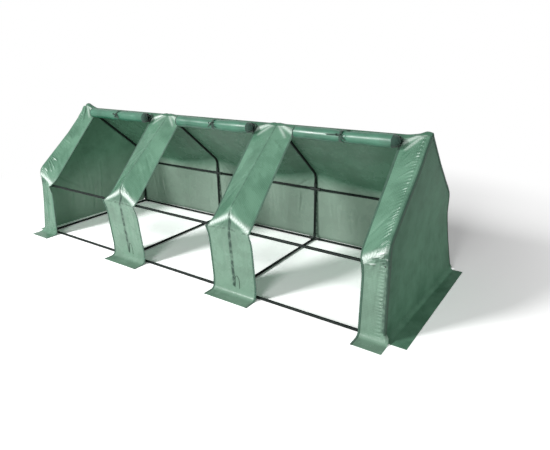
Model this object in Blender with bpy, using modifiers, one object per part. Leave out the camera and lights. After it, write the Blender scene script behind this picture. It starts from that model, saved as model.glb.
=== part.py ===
"""Tunnel greenhouse: steel tube hoops and rails under a sewn film cover with three roll-up doors."""
import math

import bmesh
import bpy
from mathutils import Matrix, Vector

# Frame, in metres
BAY_COUNT = 3
BAY = 0.88
DEPTH = 0.92
RIDGE_Z = 0.868
KNEE_Z = 0.480
MID_RAIL_Z = 0.376
BEND_RADIUS = 0.070
BEND_STEPS = 4

# Tubes and the sleeve fittings they push into
TUBE_SIDES = 8
TUBE_RADIUS = 0.008
TUBE_WALL = 0.0006
SLEEVE_WALL = 0.0020
ARM_SLIMMER = 0.0003
SLEEVE_ARM = 0.040
WEB_WALL = 0.0015
SMOOTH_ANGLE = math.radians(50)

# Cover
FILM = 0.001
FLAP = 0.090
GABLE_FLAP = 0.110
FLARE_RADIUS = 0.030
WALL_LEAN = 0.015
HEADER = 0.014
STRIP_HALF = 0.135
STRIP_FOOT_SHARE = 1.10
ZIP_TAPE = 0.010
CREST_HALF = 0.009
SHOULDER = 0.050
BACK_HOLD = 0.45
ROOF_SHARES = (0, 1 / 3, 2 / 3, 1)
CHORD_RISE = 0.004
PEAK_LIFT = 0.025
PEAK_REACH = 0.130
PEAK_DEPTH = 0.200
FOLD_OUT = 0.012
FOLDS_PER_BAY = 3
FOLD_PLACES = (1 / 3, 1 / 2, 2 / 3)

# Rolled doors and their ties
ROLL_RADIUS = 0.034
ROLL_CORE = 0.013
ROLL_TURNS = 7
ROLL_STEPS = 14
ROLL_RUN = 0.062
ROLL_GAP = 0.0005
ROLL_END_GAP = 0.008
TIE_WIDTH = 0.020
TIE_THICK = 0.0015
TIE_STEPS = 16
KNOT_RADIUS = 0.0055
KNOT_SEAT = 0.9
KNOT_SIDES = 8
KNOT_RINGS = 6
KNOT_ANGLE = math.radians(160)

# Zip sliders
SLIDER_LENGTH = 0.014
SLIDER_IN = 0.0055
SLIDER_OUT = 0.0035
SLIDER_SHELL = 0.0014
SLIDER_START = 0.055
POST_SIZE = 0.003
POST_HEIGHT = 0.0022
TAB_LENGTH = 0.024
TAB_WIDTH = 0.006
TAB_THICK = 0.0012

# Clearances
FIT_GAP = 0.0003
FILM_GAP = 0.0006
CUT_PAST = 0.001

# Sizes that follow
HALF_DEPTH = DEPTH / 2
HALF_LENGTH = BAY * BAY_COUNT / 2
FLAT_SHARE = math.cos(math.pi / TUBE_SIDES)
BORE_RADIUS = TUBE_RADIUS + FIT_GAP / FLAT_SHARE
SLEEVE_RADIUS = BORE_RADIUS + SLEEVE_WALL
SLEEVE_WEB = BORE_RADIUS + WEB_WALL
HUB_BACK = SLEEVE_RADIUS * FLAT_SHARE + FIT_GAP
BASE_Z = SLEEVE_RADIUS * FLAT_SHARE
TUBE_START = SLEEVE_WEB + FIT_GAP
SLOPE = math.atan2(RIDGE_Z - KNEE_Z, HALF_DEPTH)
SLOPE_LENGTH = math.hypot(RIDGE_Z - KNEE_Z, HALF_DEPTH)
CHORD = math.atan2(RIDGE_Z - MID_RAIL_Z, HALF_DEPTH)
CHORD_LENGTH = math.hypot(RIDGE_Z - MID_RAIL_Z, HALF_DEPTH)
BEND_ANGLE = math.pi / 2 - SLOPE
BEND_REACH = BEND_RADIUS * math.tan(BEND_ANGLE / 2)
FILM_OFFSET = SLEEVE_RADIUS + FILM_GAP
END_PLANE = HALF_LENGTH + FILM_OFFSET
HOOPS = [(number - BAY_COUNT / 2) * BAY for number in range(BAY_COUNT + 1)]
FACET_TURN = Matrix.Rotation(math.pi / TUBE_SIDES, 4, "Z")
ALONG_X = Matrix.Rotation(math.pi / 2, 4, "Y")
ALONG_Y = Matrix.Rotation(-math.pi / 2, 4, "X")
UPRIGHT = Matrix.Identity(4)
HALF_TURN = Matrix.Rotation(math.pi, 4, "Z")

for leftover in list(bpy.data.objects):
    bpy.data.objects.remove(leftover)

parts = bpy.data.collections.new("tunnel_greenhouse")
bpy.context.scene.collection.children.link(parts)
origin = bpy.data.objects.new("greenhouse_origin", None)
parts.objects.link(origin)


def material(name, colour, roughness, metallic=0.0):
    made = bpy.data.materials.new(name)
    made.use_nodes = True
    shader = made.node_tree.nodes["Principled BSDF"]
    shader.inputs["Base Color"].default_value = (*colour, 1.0)
    shader.inputs["Roughness"].default_value = roughness
    shader.inputs["Metallic"].default_value = metallic
    return made


tube_paint = material("tube_paint", (0.030, 0.055, 0.045), 0.40, 0.3)
fitting_plastic = material("fitting_plastic", (0.020, 0.035, 0.030), 0.50)
cover_film = material("cover_film", (0.30, 0.60, 0.43), 0.30)
tie_tape = material("tie_tape", (0.05, 0.12, 0.09), 0.80)
zip_metal = material("zip_metal", (0.12, 0.13, 0.13), 0.35, 0.8)


def place(name, mesh, finish, location=(0, 0, 0), turn=UPRIGHT):
    """A named sub-part, with its own place and turn."""
    piece = bpy.data.objects.new(name, mesh)
    parts.objects.link(piece)
    piece.parent = origin
    piece.location = location
    piece.rotation_euler = turn.to_euler()
    if not mesh.materials:
        mesh.materials.append(finish)
    return piece


def finished(bm, name):
    mesh = bpy.data.meshes.new(name)
    bm.to_mesh(mesh)
    bm.free()
    return mesh


def thicken(piece, thickness, offset):
    shell = piece.modifiers.new("thickness", "SOLIDIFY")
    shell.thickness = thickness
    shell.offset = offset
    shell.use_even_offset = True


def round_off(mesh):
    mesh.shade_smooth()
    mesh.set_sharp_from_angle(angle=SMOOTH_ANGLE)


def fused(name, solids, cuts):
    """One mesh: the solids joined together, then cut."""
    pieces = [bpy.data.objects.new(name, mesh) for mesh in solids + cuts]
    for piece in pieces:
        parts.objects.link(piece)
    body = pieces[0]
    for number, other in enumerate(pieces[1:], start=1):
        step = body.modifiers.new("step", "BOOLEAN")
        step.operation = "UNION" if number < len(solids) else "DIFFERENCE"
        step.object = other
    graph = bpy.context.evaluated_depsgraph_get()
    mesh = bpy.data.meshes.new_from_object(body.evaluated_get(graph))
    mesh.name = name
    for piece in pieces:
        bpy.data.objects.remove(piece)
    round_off(mesh)
    return mesh


def bar(radius, start, end, turn=UPRIGHT):
    """A solid bar from start to end along the turned z axis, its flats square to the frame."""
    bm = bmesh.new()
    middle = Matrix.Translation((0, 0, (start + end) / 2))
    bmesh.ops.create_cone(
        bm, cap_ends=True, segments=TUBE_SIDES, radius1=radius, radius2=radius,
        depth=end - start, matrix=turn @ middle @ FACET_TURN,
    )
    return finished(bm, "bar")


def extruded(bm, edges):
    """Extrude edges on the spot: the new vertices and the new edges."""
    grown = bmesh.ops.extrude_edge_only(bm, edges=edges)["geom"]
    verts = [item for item in grown if isinstance(item, bmesh.types.BMVert)]
    fresh = set(verts)
    rim = [edge for edge in bm.edges if edge.verts[0] in fresh and edge.verts[1] in fresh]
    return verts, rim


def bent_bar(radius, start_z, ridge_gap):
    """A hoop's front half as a bar: up from start_z, round the knee, to ridge_gap short of the ridge."""
    bm = bmesh.new()
    foot = Matrix.Translation((0, -HALF_DEPTH, start_z))
    bmesh.ops.create_circle(bm, segments=TUBE_SIDES, radius=radius, matrix=foot @ FACET_TURN)
    rim = list(bm.edges)
    bmesh.ops.contextual_create(bm, geom=rim)
    bend_z = KNEE_Z - BEND_REACH
    verts, rim = extruded(bm, rim)
    bmesh.ops.translate(bm, verts=verts, vec=(0, 0, bend_z - start_z))
    bend_centre = Vector((0, BEND_RADIUS - HALF_DEPTH, bend_z))
    bend_step = Matrix.Rotation(-BEND_ANGLE / BEND_STEPS, 3, "X")
    for _ in range(BEND_STEPS):
        verts, rim = extruded(bm, rim)
        bmesh.ops.rotate(bm, verts=verts, cent=bend_centre, matrix=bend_step)
    roof = SLOPE_LENGTH - BEND_REACH - ridge_gap
    verts, rim = extruded(bm, rim)
    bmesh.ops.translate(bm, verts=verts, vec=(0, roof * math.cos(SLOPE), roof * math.sin(SLOPE)))
    bmesh.ops.contextual_create(bm, geom=rim)
    bmesh.ops.recalc_face_normals(bm, faces=bm.faces)
    return finished(bm, "bent_bar")


def moved(mesh, shift):
    mesh.transform(Matrix.Translation(shift))
    return mesh


def arm_span(x_arms):
    """Where a cross sleeve starts and ends: a full arm where it takes a rail, else a short stub."""
    start = -SLEEVE_ARM if -1 in x_arms else -HUB_BACK
    end = SLEEVE_ARM if 1 in x_arms else HUB_BACK
    return start, end


def arm_bores(x_arms):
    spans = {-1: (-SLEEVE_ARM - CUT_PAST, -SLEEVE_WEB), 1: (SLEEVE_WEB, SLEEVE_ARM + CUT_PAST)}
    return [bar(BORE_RADIUS, *spans[side], ALONG_X) for side in x_arms]


def bore(turn=UPRIGHT):
    return bar(BORE_RADIUS, SLEEVE_WEB, SLEEVE_ARM + CUT_PAST, turn)


def foot_fitting(x_arms):
    """The foot under a front post: sleeves for the base rails, the cross bar and the post."""
    sleeves = [
        bar(SLEEVE_RADIUS, *arm_span(x_arms), ALONG_X),
        bar(SLEEVE_RADIUS - ARM_SLIMMER, -HUB_BACK, SLEEVE_ARM, ALONG_Y),
        bar(SLEEVE_RADIUS - 2 * ARM_SLIMMER, 0, SLEEVE_ARM),
    ]
    return fused("foot_fitting", sleeves, arm_bores(x_arms) + [bore(ALONG_Y), bore()])


def post_with_tee(x_arms):
    """A post with its tee: the mid rails push in from the sides, and the rafter from above."""
    tube_foot = -(MID_RAIL_Z - BASE_Z - TUBE_START)
    solids = [
        bar(TUBE_RADIUS, tube_foot, -SLEEVE_WEB),
        bar(SLEEVE_RADIUS, -SLEEVE_ARM, SLEEVE_ARM),
        bar(SLEEVE_RADIUS - ARM_SLIMMER, *arm_span(x_arms), ALONG_X),
    ]
    hollow = bar(TUBE_RADIUS - TUBE_WALL, tube_foot - CUT_PAST, -SLEEVE_WEB)
    return fused("post_with_tee", solids, arm_bores(x_arms) + [bore(), hollow])


def rafter_with_ridge(x_arms):
    """A front rafter with the ridge fitting on its end, which takes the back rafter and the ridge rails."""
    down_front = Matrix.Rotation(math.pi / 2 + SLOPE, 4, "X")
    down_back = Matrix.Rotation(-math.pi / 2 - SLOPE, 4, "X")
    ridge = (0, 0, RIDGE_Z)
    start_z = MID_RAIL_Z + TUBE_START
    solids = [
        bent_bar(TUBE_RADIUS, start_z, SLEEVE_WEB),
        moved(bar(SLEEVE_RADIUS - ARM_SLIMMER, 0, SLEEVE_ARM, down_front), ridge),
        moved(bar(SLEEVE_RADIUS - 2 * ARM_SLIMMER, 0, SLEEVE_ARM, down_back), ridge),
        moved(bar(SLEEVE_RADIUS, *arm_span(x_arms), ALONG_X), ridge),
    ]
    cuts = [moved(cut, ridge) for cut in arm_bores(x_arms) + [bore(down_back)]]
    cuts.append(bent_bar(TUBE_RADIUS - TUBE_WALL, start_z - CUT_PAST, SLEEVE_WEB))
    return fused("rafter_with_ridge", solids, cuts)


def plain_rafter():
    solid = bent_bar(TUBE_RADIUS, MID_RAIL_Z + TUBE_START, TUBE_START)
    hollow = bent_bar(TUBE_RADIUS - TUBE_WALL, MID_RAIL_Z + TUBE_START - CUT_PAST, TUBE_START - CUT_PAST)
    return fused("plain_rafter", [solid], [hollow])


def straight_tube(length):
    solid = bar(TUBE_RADIUS, 0, length)
    hollow = bar(TUBE_RADIUS - TUBE_WALL, -CUT_PAST, length + CUT_PAST)
    return fused("straight_tube", [solid], [hollow])


def rail_arms(number):
    """The sides on which a hoop's fittings take rails."""
    sides = []
    if number > 0:
        sides.append(-1)
    if number < BAY_COUNT:
        sides.append(1)
    return sides


# Rails and cross bars
rail_mesh = straight_tube(BAY - 2 * TUBE_START)
cross_mesh = straight_tube(DEPTH - 2 * TUBE_START)
for number, hoop_x in enumerate(HOOPS[:-1], start=1):
    start_x = hoop_x + TUBE_START
    place(f"base_rail_front_{number}", rail_mesh, tube_paint, (start_x, -HALF_DEPTH, BASE_Z), ALONG_X)
    place(f"base_rail_back_{number}", rail_mesh, tube_paint, (start_x, HALF_DEPTH, BASE_Z), ALONG_X)
    place(f"mid_rail_front_{number}", rail_mesh, tube_paint, (start_x, -HALF_DEPTH, MID_RAIL_Z), ALONG_X)
    place(f"mid_rail_back_{number}", rail_mesh, tube_paint, (start_x, HALF_DEPTH, MID_RAIL_Z), ALONG_X)
    place(f"ridge_rail_{number}", rail_mesh, tube_paint, (start_x, 0, RIDGE_Z), ALONG_X)

# Hoops: two feet, two posts and two rafters each, with a cross bar on the ground
back_rafter_mesh = plain_rafter()
for number, hoop_x in enumerate(HOOPS):
    label = number + 1
    arms = rail_arms(number)
    turned_arms = [-side for side in arms]
    cross_start = (hoop_x, -HALF_DEPTH + TUBE_START, BASE_Z)
    place(f"base_cross_{label}", cross_mesh, tube_paint, cross_start, ALONG_Y)
    place(f"foot_front_{label}", foot_fitting(arms), fitting_plastic, (hoop_x, -HALF_DEPTH, BASE_Z))
    back_foot = (hoop_x, HALF_DEPTH, BASE_Z)
    place(f"foot_back_{label}", foot_fitting(turned_arms), fitting_plastic, back_foot, HALF_TURN)
    place(f"post_front_{label}", post_with_tee(arms), tube_paint, (hoop_x, -HALF_DEPTH, MID_RAIL_Z))
    place(f"post_back_{label}", post_with_tee(arms), tube_paint, (hoop_x, HALF_DEPTH, MID_RAIL_Z))
    place(f"rafter_front_{label}", rafter_with_ridge(arms), tube_paint, (hoop_x, 0, 0))
    place(f"rafter_back_{label}", back_rafter_mesh, tube_paint, (hoop_x, 0, 0), HALF_TURN)


def arc_point(centre_out, centre_z, radius, angle):
    """A point on an arc, at an angle measured outward from straight up."""
    return centre_out + radius * math.sin(angle), centre_z + radius * math.cos(angle)


def roof_line(slope, bend_out, bend_z, bend_radius, offset, start):
    """The film's line from the ridge to the mid rail, as (out, z), round a bend."""
    line = [arc_point(0, RIDGE_Z, offset, slope * share) for share in (0, 0.5, 1)]
    top_out, top_z = line[-1]
    low_out, low_z = arc_point(bend_out, bend_z, bend_radius + offset, slope)
    run_out, run_z = top_out + start * math.cos(slope), top_z - start * math.sin(slope)
    for share in ROOF_SHARES:
        line.append((run_out + (low_out - run_out) * share, run_z + (low_z - run_z) * share))
    for share in (0.5, 1):
        angle = slope + (math.pi / 2 - slope) * share
        line.append(arc_point(bend_out, bend_z, bend_radius + offset, angle))
    line.append((HALF_DEPTH + offset, (line[-1][1] + MID_RAIL_Z) / 2))
    line.append((HALF_DEPTH + offset, MID_RAIL_Z))
    return line


def hoop_line(offset, start):
    """The film's line over a hoop, round the knee."""
    return roof_line(SLOPE, HALF_DEPTH - BEND_RADIUS, KNEE_Z - BEND_REACH, BEND_RADIUS, offset, start)


def chord_line(offset, start):
    """The film's line between hoops, straight to just above the mid rail, row for row with hoop_line."""
    bend_out = HALF_DEPTH - CHORD_RISE / math.tan(CHORD)
    return roof_line(CHORD, bend_out, MID_RAIL_Z + CHORD_RISE, 0, offset, start)


def wall_line(offset, flap):
    """The film's line below the mid rail: a leaning wall, a flare and a flap on the ground."""
    foot = HALF_DEPTH + offset + WALL_LEAN
    middle_z = (MID_RAIL_Z + FLARE_RADIUS) / 2
    line = [(foot - WALL_LEAN / 2, middle_z)]
    for angle in (0, math.pi / 4, math.pi / 2):
        line.append((foot + FLARE_RADIUS * (1 - math.cos(angle)), FLARE_RADIUS * (1 - math.sin(angle))))
    line.append((foot + flap, 0))
    return line


HEADER_ROW = 3
WALL_ROWS = 5
GABLE_PANELS = 5
FOLD_SHARES = (0.5, 1, 1, 1, 0)


def from_hoop(x):
    return min(abs(x - hoop_x) for hoop_x in HOOPS)


def tent_share(x):
    """How far the hoops push the front film out here: 1 over a hoop, 0 where the film takes the chord."""
    if abs(x) > HALF_LENGTH:
        return 1
    reach = STRIP_HALF - ZIP_TAPE
    share = (reach - from_hoop(x)) / (reach - CREST_HALF)
    return min(1, max(0, share))


def back_share(x):
    """The back film stays nearer the hoops' line, because it is held all along both rails."""
    if abs(x) > HALF_LENGTH:
        return 1
    return 1 - (1 - BACK_HOLD) * math.sin(math.pi * from_hoop(x) / BAY)


def peak_lift(x, out):
    """The loose film stands up a little at both gable seams."""
    along = max(0, (abs(x) - END_PLANE + PEAK_REACH) / PEAK_REACH)
    across = max(0, 1 - out / PEAK_DEPTH)
    return PEAK_LIFT * along * across


def film_rows(x, offset=FILM_OFFSET, start=HEADER, flap=FLAP, held=tent_share):
    """The film's rows at x, as (out, z) from ridge to flap. held gives the hoops' share there."""
    share = held(x)
    rows = []
    for over_hoop, between in zip(hoop_line(offset, start), chord_line(offset, start)):
        out = between[0] + (over_hoop[0] - between[0]) * share
        z = between[1] + (over_hoop[1] - between[1]) * share
        rows.append((out, z + peak_lift(x, out)))
    return rows + wall_line(offset, flap)


def add_grid(bm, columns):
    """Faces between neighbouring columns of points."""
    verts = [[bm.verts.new(point) for point in column] for column in columns]
    for left, right in zip(verts, verts[1:]):
        for row in range(len(left) - 1):
            bm.faces.new((left[row], right[row], right[row + 1], left[row + 1]))


def main_columns():
    """Where the main sheet has its columns: close at the hoops, and at the wall's folds between them."""
    inset = [CREST_HALF, SHOULDER, STRIP_HALF - ZIP_TAPE]
    places = [-END_PLANE - FILM]
    for hoop_x in HOOPS[:-1]:
        places += [hoop_x + step for step in inset]
        places += [hoop_x + BAY * share for share in FOLD_PLACES]
        places += [hoop_x + BAY - step for step in reversed(inset)]
    places.append(END_PLANE + FILM)
    return places


def main_column(x):
    """One column of the main sheet, from the header's front edge over the ridge to the back flap."""
    front = [(x, -out, z) for out, z in reversed(film_rows(x)[1:HEADER_ROW + 1])]
    rows = film_rows(x, held=back_share)
    fold = FOLD_OUT * math.sin(FOLDS_PER_BAY * math.pi * (x + HALF_LENGTH) / BAY) ** 2
    if abs(x) > HALF_LENGTH:
        fold = 0
    shares = (0,) * (len(rows) - WALL_ROWS) + FOLD_SHARES
    back = [(x, out + fold * share, z) for (out, z), share in zip(rows, shares)]
    return front + back


def main_cover():
    """Back wall, roof and header in one length of film."""
    bm = bmesh.new()
    add_grid(bm, [main_column(x) for x in main_columns()])
    return finished(bm, "cover_main")


def strip_column(x, hoop_x):
    """One column of a front strip: it hangs from the header's edge and narrows to its foot."""
    rows = film_rows(x, start=HEADER + FIT_GAP)[HEADER_ROW:]
    column = []
    for out, z in rows:
        share = STRIP_FOOT_SHARE + (1 - STRIP_FOOT_SHARE) * min(1, z / MID_RAIL_Z)
        column.append((hoop_x + (x - hoop_x) * share, -out, z))
    return column


def strip_steps():
    inner = [CREST_HALF, SHOULDER, STRIP_HALF - ZIP_TAPE, STRIP_HALF]
    return [-step for step in reversed(inner)] + inner


def middle_strip(hoop_x):
    """The strip of film in front of a middle hoop, with a zip tape down each edge."""
    bm = bmesh.new()
    add_grid(bm, [strip_column(hoop_x + step, hoop_x) for step in reversed(strip_steps())])
    return finished(bm, "cover_strip")


def gable_rows(side):
    """A gable's rows, each as points from its back edge to its front edge."""
    end_x = side * END_PLANE
    under = film_rows(end_x, FILM_OFFSET - FIT_GAP, HEADER, GABLE_FLAP)
    seam = film_rows(end_x, FILM_OFFSET, HEADER + FIT_GAP, GABLE_FLAP)
    inset = film_rows(end_x, FILM_OFFSET - FIT_GAP, HEADER + FIT_GAP, GABLE_FLAP)
    edges = [(out, out, z) for out, z in under[1:HEADER_ROW + 1]]
    edges += [(back[0], front[0], front[1]) for back, front in zip(inset[HEADER_ROW:], seam[HEADER_ROW:])]
    wall_foot = edges[1 - WALL_ROWS]
    rows = []
    for number, (back_out, front_out, z) in enumerate(edges):
        shift = 0
        if number > len(edges) + 1 - WALL_ROWS:
            shift = front_out - wall_foot[1]
            back_out, front_out = wall_foot[:2]
        panel = (back_out + front_out) / GABLE_PANELS
        spread = [back_out - panel * step for step in range(GABLE_PANELS + 1)]
        rows.append([(end_x + side * shift, y, z) for y in spread])
    return rows


def gable(side):
    """An end panel with the half-width front strip sewn to its front edge."""
    bm = bmesh.new()
    rows = gable_rows(side)
    add_grid(bm, rows if side < 0 else [list(reversed(row)) for row in rows])
    hoop_x = HOOPS[0] if side < 0 else HOOPS[-1]
    inner = [CREST_HALF, SHOULDER, STRIP_HALF - ZIP_TAPE, STRIP_HALF]
    places = [side * END_PLANE] + [hoop_x - side * step for step in inner]
    columns = []
    for x in places:
        columns.append(strip_column(x, side * END_PLANE if x == places[0] else hoop_x))
    add_grid(bm, list(reversed(columns)) if side < 0 else columns)
    bmesh.ops.remove_doubles(bm, verts=bm.verts, dist=0.00002)
    return finished(bm, "cover_gable")


# Cover
cover = place("cover_main", main_cover(), cover_film)
thicken(cover, FILM, 1)
for number, hoop_x in enumerate(HOOPS[1:-1], start=1):
    strip = place(f"cover_strip_{number}", middle_strip(hoop_x), cover_film)
    thicken(strip, FILM, 1)
for name, side in (("cover_gable_left", -1), ("cover_gable_right", 1)):
    panel = place(name, gable(side), cover_film)
    thicken(panel, FILM, 1)


def on_slope(out, run):
    """A place on the front slope as (y, z): out from the ridge-to-mid-rail line, run down along it."""
    return -out * math.sin(CHORD) - run * math.cos(CHORD), out * math.cos(CHORD) - run * math.sin(CHORD)


# The rolled doors lie on the front slope, just under the header's edge that they hang from
roll_out = FILM_OFFSET + FILM + ROLL_GAP + FILM / 2 + ROLL_RADIUS
roll_y, roll_z = on_slope(roll_out, ROLL_RUN)
roll_z += RIDGE_Z
roll_first = CHORD - math.pi / 2
door_half = BAY / 2 - STRIP_HALF - ROLL_END_GAP


def ribbon(points, half_width):
    """A strip of film or tape along a line of (y, z) points, spread along x."""
    bm = bmesh.new()
    add_grid(bm, [[(x, y, z) for y, z in points] for x in (-half_width, half_width)])
    return finished(bm, "ribbon")


def roll_line():
    """The rolled film: a tail down from the header's edge, then turns that tighten to the core."""
    points = [on_slope(-ROLL_RADIUS, HEADER + FIT_GAP - ROLL_RUN)]
    for step in range(ROLL_TURNS * ROLL_STEPS + 1):
        angle = roll_first - 2 * math.pi * step / ROLL_STEPS
        radius = ROLL_RADIUS - (ROLL_RADIUS - ROLL_CORE) * step / (ROLL_TURNS * ROLL_STEPS)
        points.append((radius * math.cos(angle), radius * math.sin(angle)))
    return points


def tie_line():
    """The tie: from the header over the roll, round its front, and up behind the tail."""
    radius = ROLL_RADIUS + FILM / 2 + FIT_GAP + TIE_THICK / 2
    above = FILM_OFFSET + FILM + FIT_GAP + TIE_THICK / 2
    start = on_slope(above - roll_out, -ROLL_RUN)
    distance = math.hypot(*start)
    first = math.atan2(start[1], start[0]) + math.acos(radius / distance)
    last = roll_first + 2 * math.pi
    points = [start]
    for step in range(TIE_STEPS + 1):
        angle = first + (last - first) * step / TIE_STEPS
        points.append((radius * math.cos(angle), radius * math.sin(angle)))
    points.append(on_slope(-radius, HEADER + TIE_THICK * 2 - ROLL_RUN))
    return points


def tied_strap():
    """The tie with its knot on the roll's front."""
    strap = bpy.data.objects.new("strap", ribbon(tie_line(), TIE_WIDTH / 2))
    parts.objects.link(strap)
    thicken(strap, TIE_THICK, 0)
    graph = bpy.context.evaluated_depsgraph_get()
    tape = bpy.data.meshes.new_from_object(strap.evaluated_get(graph))
    bpy.data.objects.remove(strap)
    bm = bmesh.new()
    bmesh.ops.create_uvsphere(bm, u_segments=KNOT_SIDES, v_segments=KNOT_RINGS, radius=KNOT_RADIUS)
    knot = finished(bm, "knot")
    reach = ROLL_RADIUS + FILM / 2 + FIT_GAP + TIE_THICK / 2 + KNOT_RADIUS * KNOT_SEAT
    moved(knot, (0, reach * math.cos(KNOT_ANGLE), reach * math.sin(KNOT_ANGLE)))
    return fused("door_tie", [tape, knot], [])


# Rolled doors with their ties
roll_mesh = ribbon(roll_line(), door_half)
tie_mesh = tied_strap()
for number, hoop_x in enumerate(HOOPS[:-1], start=1):
    roll_centre = (hoop_x + BAY / 2, roll_y, roll_z)
    roll = place(f"door_roll_{number}", roll_mesh, cover_film, roll_centre)
    thicken(roll, FILM, 0)
    place(f"door_tie_{number}", tie_mesh, tie_tape, roll_centre)


def block(low, high):
    bm = bmesh.new()
    bmesh.ops.create_cube(bm, size=1)
    size = [far - near for near, far in zip(low, high)]
    middle = [(far + near) / 2 for near, far in zip(low, high)]
    bmesh.ops.scale(bm, verts=bm.verts, vec=size)
    bmesh.ops.translate(bm, verts=bm.verts, vec=middle)
    return finished(bm, "block")


def slider_mesh(side):
    """A zip slider that straddles a strip's edge, with its pull tab. side is the strip's side along x."""
    half = SLIDER_LENGTH / 2
    top = FILM + FIT_GAP + SLIDER_SHELL
    low_x, high_x = sorted((side * SLIDER_IN, -side * SLIDER_OUT))
    middle_x = (low_x + high_x) / 2
    body = block((low_x, -half, -FIT_GAP - SLIDER_SHELL), (high_x, half, top))
    lug = block(
        (middle_x - POST_SIZE / 2, -POST_SIZE / 2, top - SLIDER_SHELL / 2),
        (middle_x + POST_SIZE / 2, POST_SIZE / 2, top + POST_HEIGHT),
    )
    tab = block(
        (middle_x - TAB_WIDTH / 2, POST_SIZE - TAB_LENGTH, top + POST_HEIGHT - TAB_THICK),
        (middle_x + TAB_WIDTH / 2, POST_SIZE, top + POST_HEIGHT + CUT_PAST / 2),
    )
    low_cut, high_cut = sorted((side * (SLIDER_IN + CUT_PAST), -side * FIT_GAP))
    slot = block((low_cut, -half - CUT_PAST, -FIT_GAP), (high_cut, half + CUT_PAST, FILM + FIT_GAP))
    return fused("zip_slider", [body, lug, tab], [slot])


# Zip sliders, one on each strip edge, high up where the open zip starts
up_chord = Matrix.Rotation(CHORD, 4, "X")
slider_y = -(FILM_OFFSET * math.sin(CHORD) + SLIDER_START * math.cos(CHORD))
slider_z = RIDGE_Z + FILM_OFFSET * math.cos(CHORD) - SLIDER_START * math.sin(CHORD)
for number, hoop_x in enumerate(HOOPS[:-1], start=1):
    left_edge = hoop_x + STRIP_HALF
    right_edge = hoop_x + BAY - STRIP_HALF
    for label, edge, side in (("left", left_edge, -1), ("right", right_edge, 1)):
        name = f"zip_slider_{label}_{number}"
        place(name, slider_mesh(side), zip_metal, (edge, slider_y, slider_z), up_chord)
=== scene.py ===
import math
import random

import bmesh
import bpy
import numpy as np
from mathutils import Matrix, Vector


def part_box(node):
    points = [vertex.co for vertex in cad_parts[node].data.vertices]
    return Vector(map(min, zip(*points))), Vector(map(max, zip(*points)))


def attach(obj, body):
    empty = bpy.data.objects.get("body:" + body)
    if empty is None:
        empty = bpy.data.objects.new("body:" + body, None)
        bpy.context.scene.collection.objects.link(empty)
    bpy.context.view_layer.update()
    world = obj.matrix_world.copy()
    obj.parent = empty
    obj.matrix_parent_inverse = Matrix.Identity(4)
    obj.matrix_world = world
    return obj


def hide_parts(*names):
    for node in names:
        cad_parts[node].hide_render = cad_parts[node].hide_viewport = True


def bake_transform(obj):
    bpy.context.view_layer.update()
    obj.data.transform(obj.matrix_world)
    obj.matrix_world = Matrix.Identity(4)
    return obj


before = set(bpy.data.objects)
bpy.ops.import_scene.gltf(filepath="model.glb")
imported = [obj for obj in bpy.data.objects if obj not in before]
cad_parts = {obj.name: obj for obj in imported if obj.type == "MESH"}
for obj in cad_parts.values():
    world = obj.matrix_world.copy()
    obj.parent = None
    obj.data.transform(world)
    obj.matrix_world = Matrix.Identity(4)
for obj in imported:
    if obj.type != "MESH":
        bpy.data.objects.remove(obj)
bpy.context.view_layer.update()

# Ground frame: front and back base rails and four cross bars of 16 mm steel tube.
# The tube is welded, cut to length and powder coated in a green that is nearly black.
TUBE_RADIUS = 0.008
TUBE_SIDES = 20
PAINT = (0.004, 0.009, 0.007)
WORN_PAINT = (0.022, 0.034, 0.028)


def feed(tree, target, values):
    """Set a node's inputs. A value goes into the socket, and another node's output is linked to it."""
    for key, value in values.items():
        if isinstance(value, bpy.types.NodeSocket):
            tree.links.new(value, target.inputs[key])
        else:
            target.inputs[key].default_value = value


def node(tree, kind, inputs=(), **settings):
    """A new shader node."""
    made = tree.nodes.new(kind)
    for name, value in settings.items():
        setattr(made, name, value)
    feed(tree, made, dict(inputs))
    return made


def maths(tree, operation, first, second=0.0, third=0.0):
    """The result of one Math node."""
    return node(tree, "ShaderNodeMath", {0: first, 1: second, 2: third}, operation=operation).outputs[0]


def ranged(tree, value, start, end, low=0.0, high=1.0, curve="LINEAR"):
    """A value mapped from start and end to low and high, and held there beyond them."""
    limits = {0: value, 1: start, 2: end, 3: low, 4: high}
    return node(tree, "ShaderNodeMapRange", limits, interpolation_type=curve).outputs[0]


def noise(tree, place, scale, detail, roughness=0.5):
    """A soft random pattern, from 0 to 1."""
    settings = {"Vector": place, "Scale": scale, "Detail": detail, "Roughness": roughness}
    return node(tree, "ShaderNodeTexNoise", settings).outputs[0]


def bumped(tree, height, strength, distance):
    """The direction of a surface with fine relief."""
    settings = {"Height": height, "Strength": strength, "Distance": distance}
    return node(tree, "ShaderNodeBump", settings).outputs[0]


def blended(tree, share, first, second):
    """A colour between two colours, each a colour or a node's output."""
    ends = [value if isinstance(value, bpy.types.NodeSocket) else (*value, 1.0) for value in (first, second)]
    return node(tree, "ShaderNodeMix", {0: share, 6: ends[0], 7: ends[1]}, data_type="RGBA").outputs[2]


def new_effect(name, inputs, outputs):
    """A shader node group with named number, vector or colour inputs and outputs."""
    tree = bpy.data.node_groups.new(name, "ShaderNodeTree")
    for label, kind, value in inputs:
        socket = tree.interface.new_socket(label, in_out="INPUT", socket_type=kind)
        if value is not None:
            socket.default_value = value
    for label, kind in outputs:
        tree.interface.new_socket(label, in_out="OUTPUT", socket_type=kind)
    return tree, tree.nodes.new("NodeGroupInput"), tree.nodes.new("NodeGroupOutput")


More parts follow.
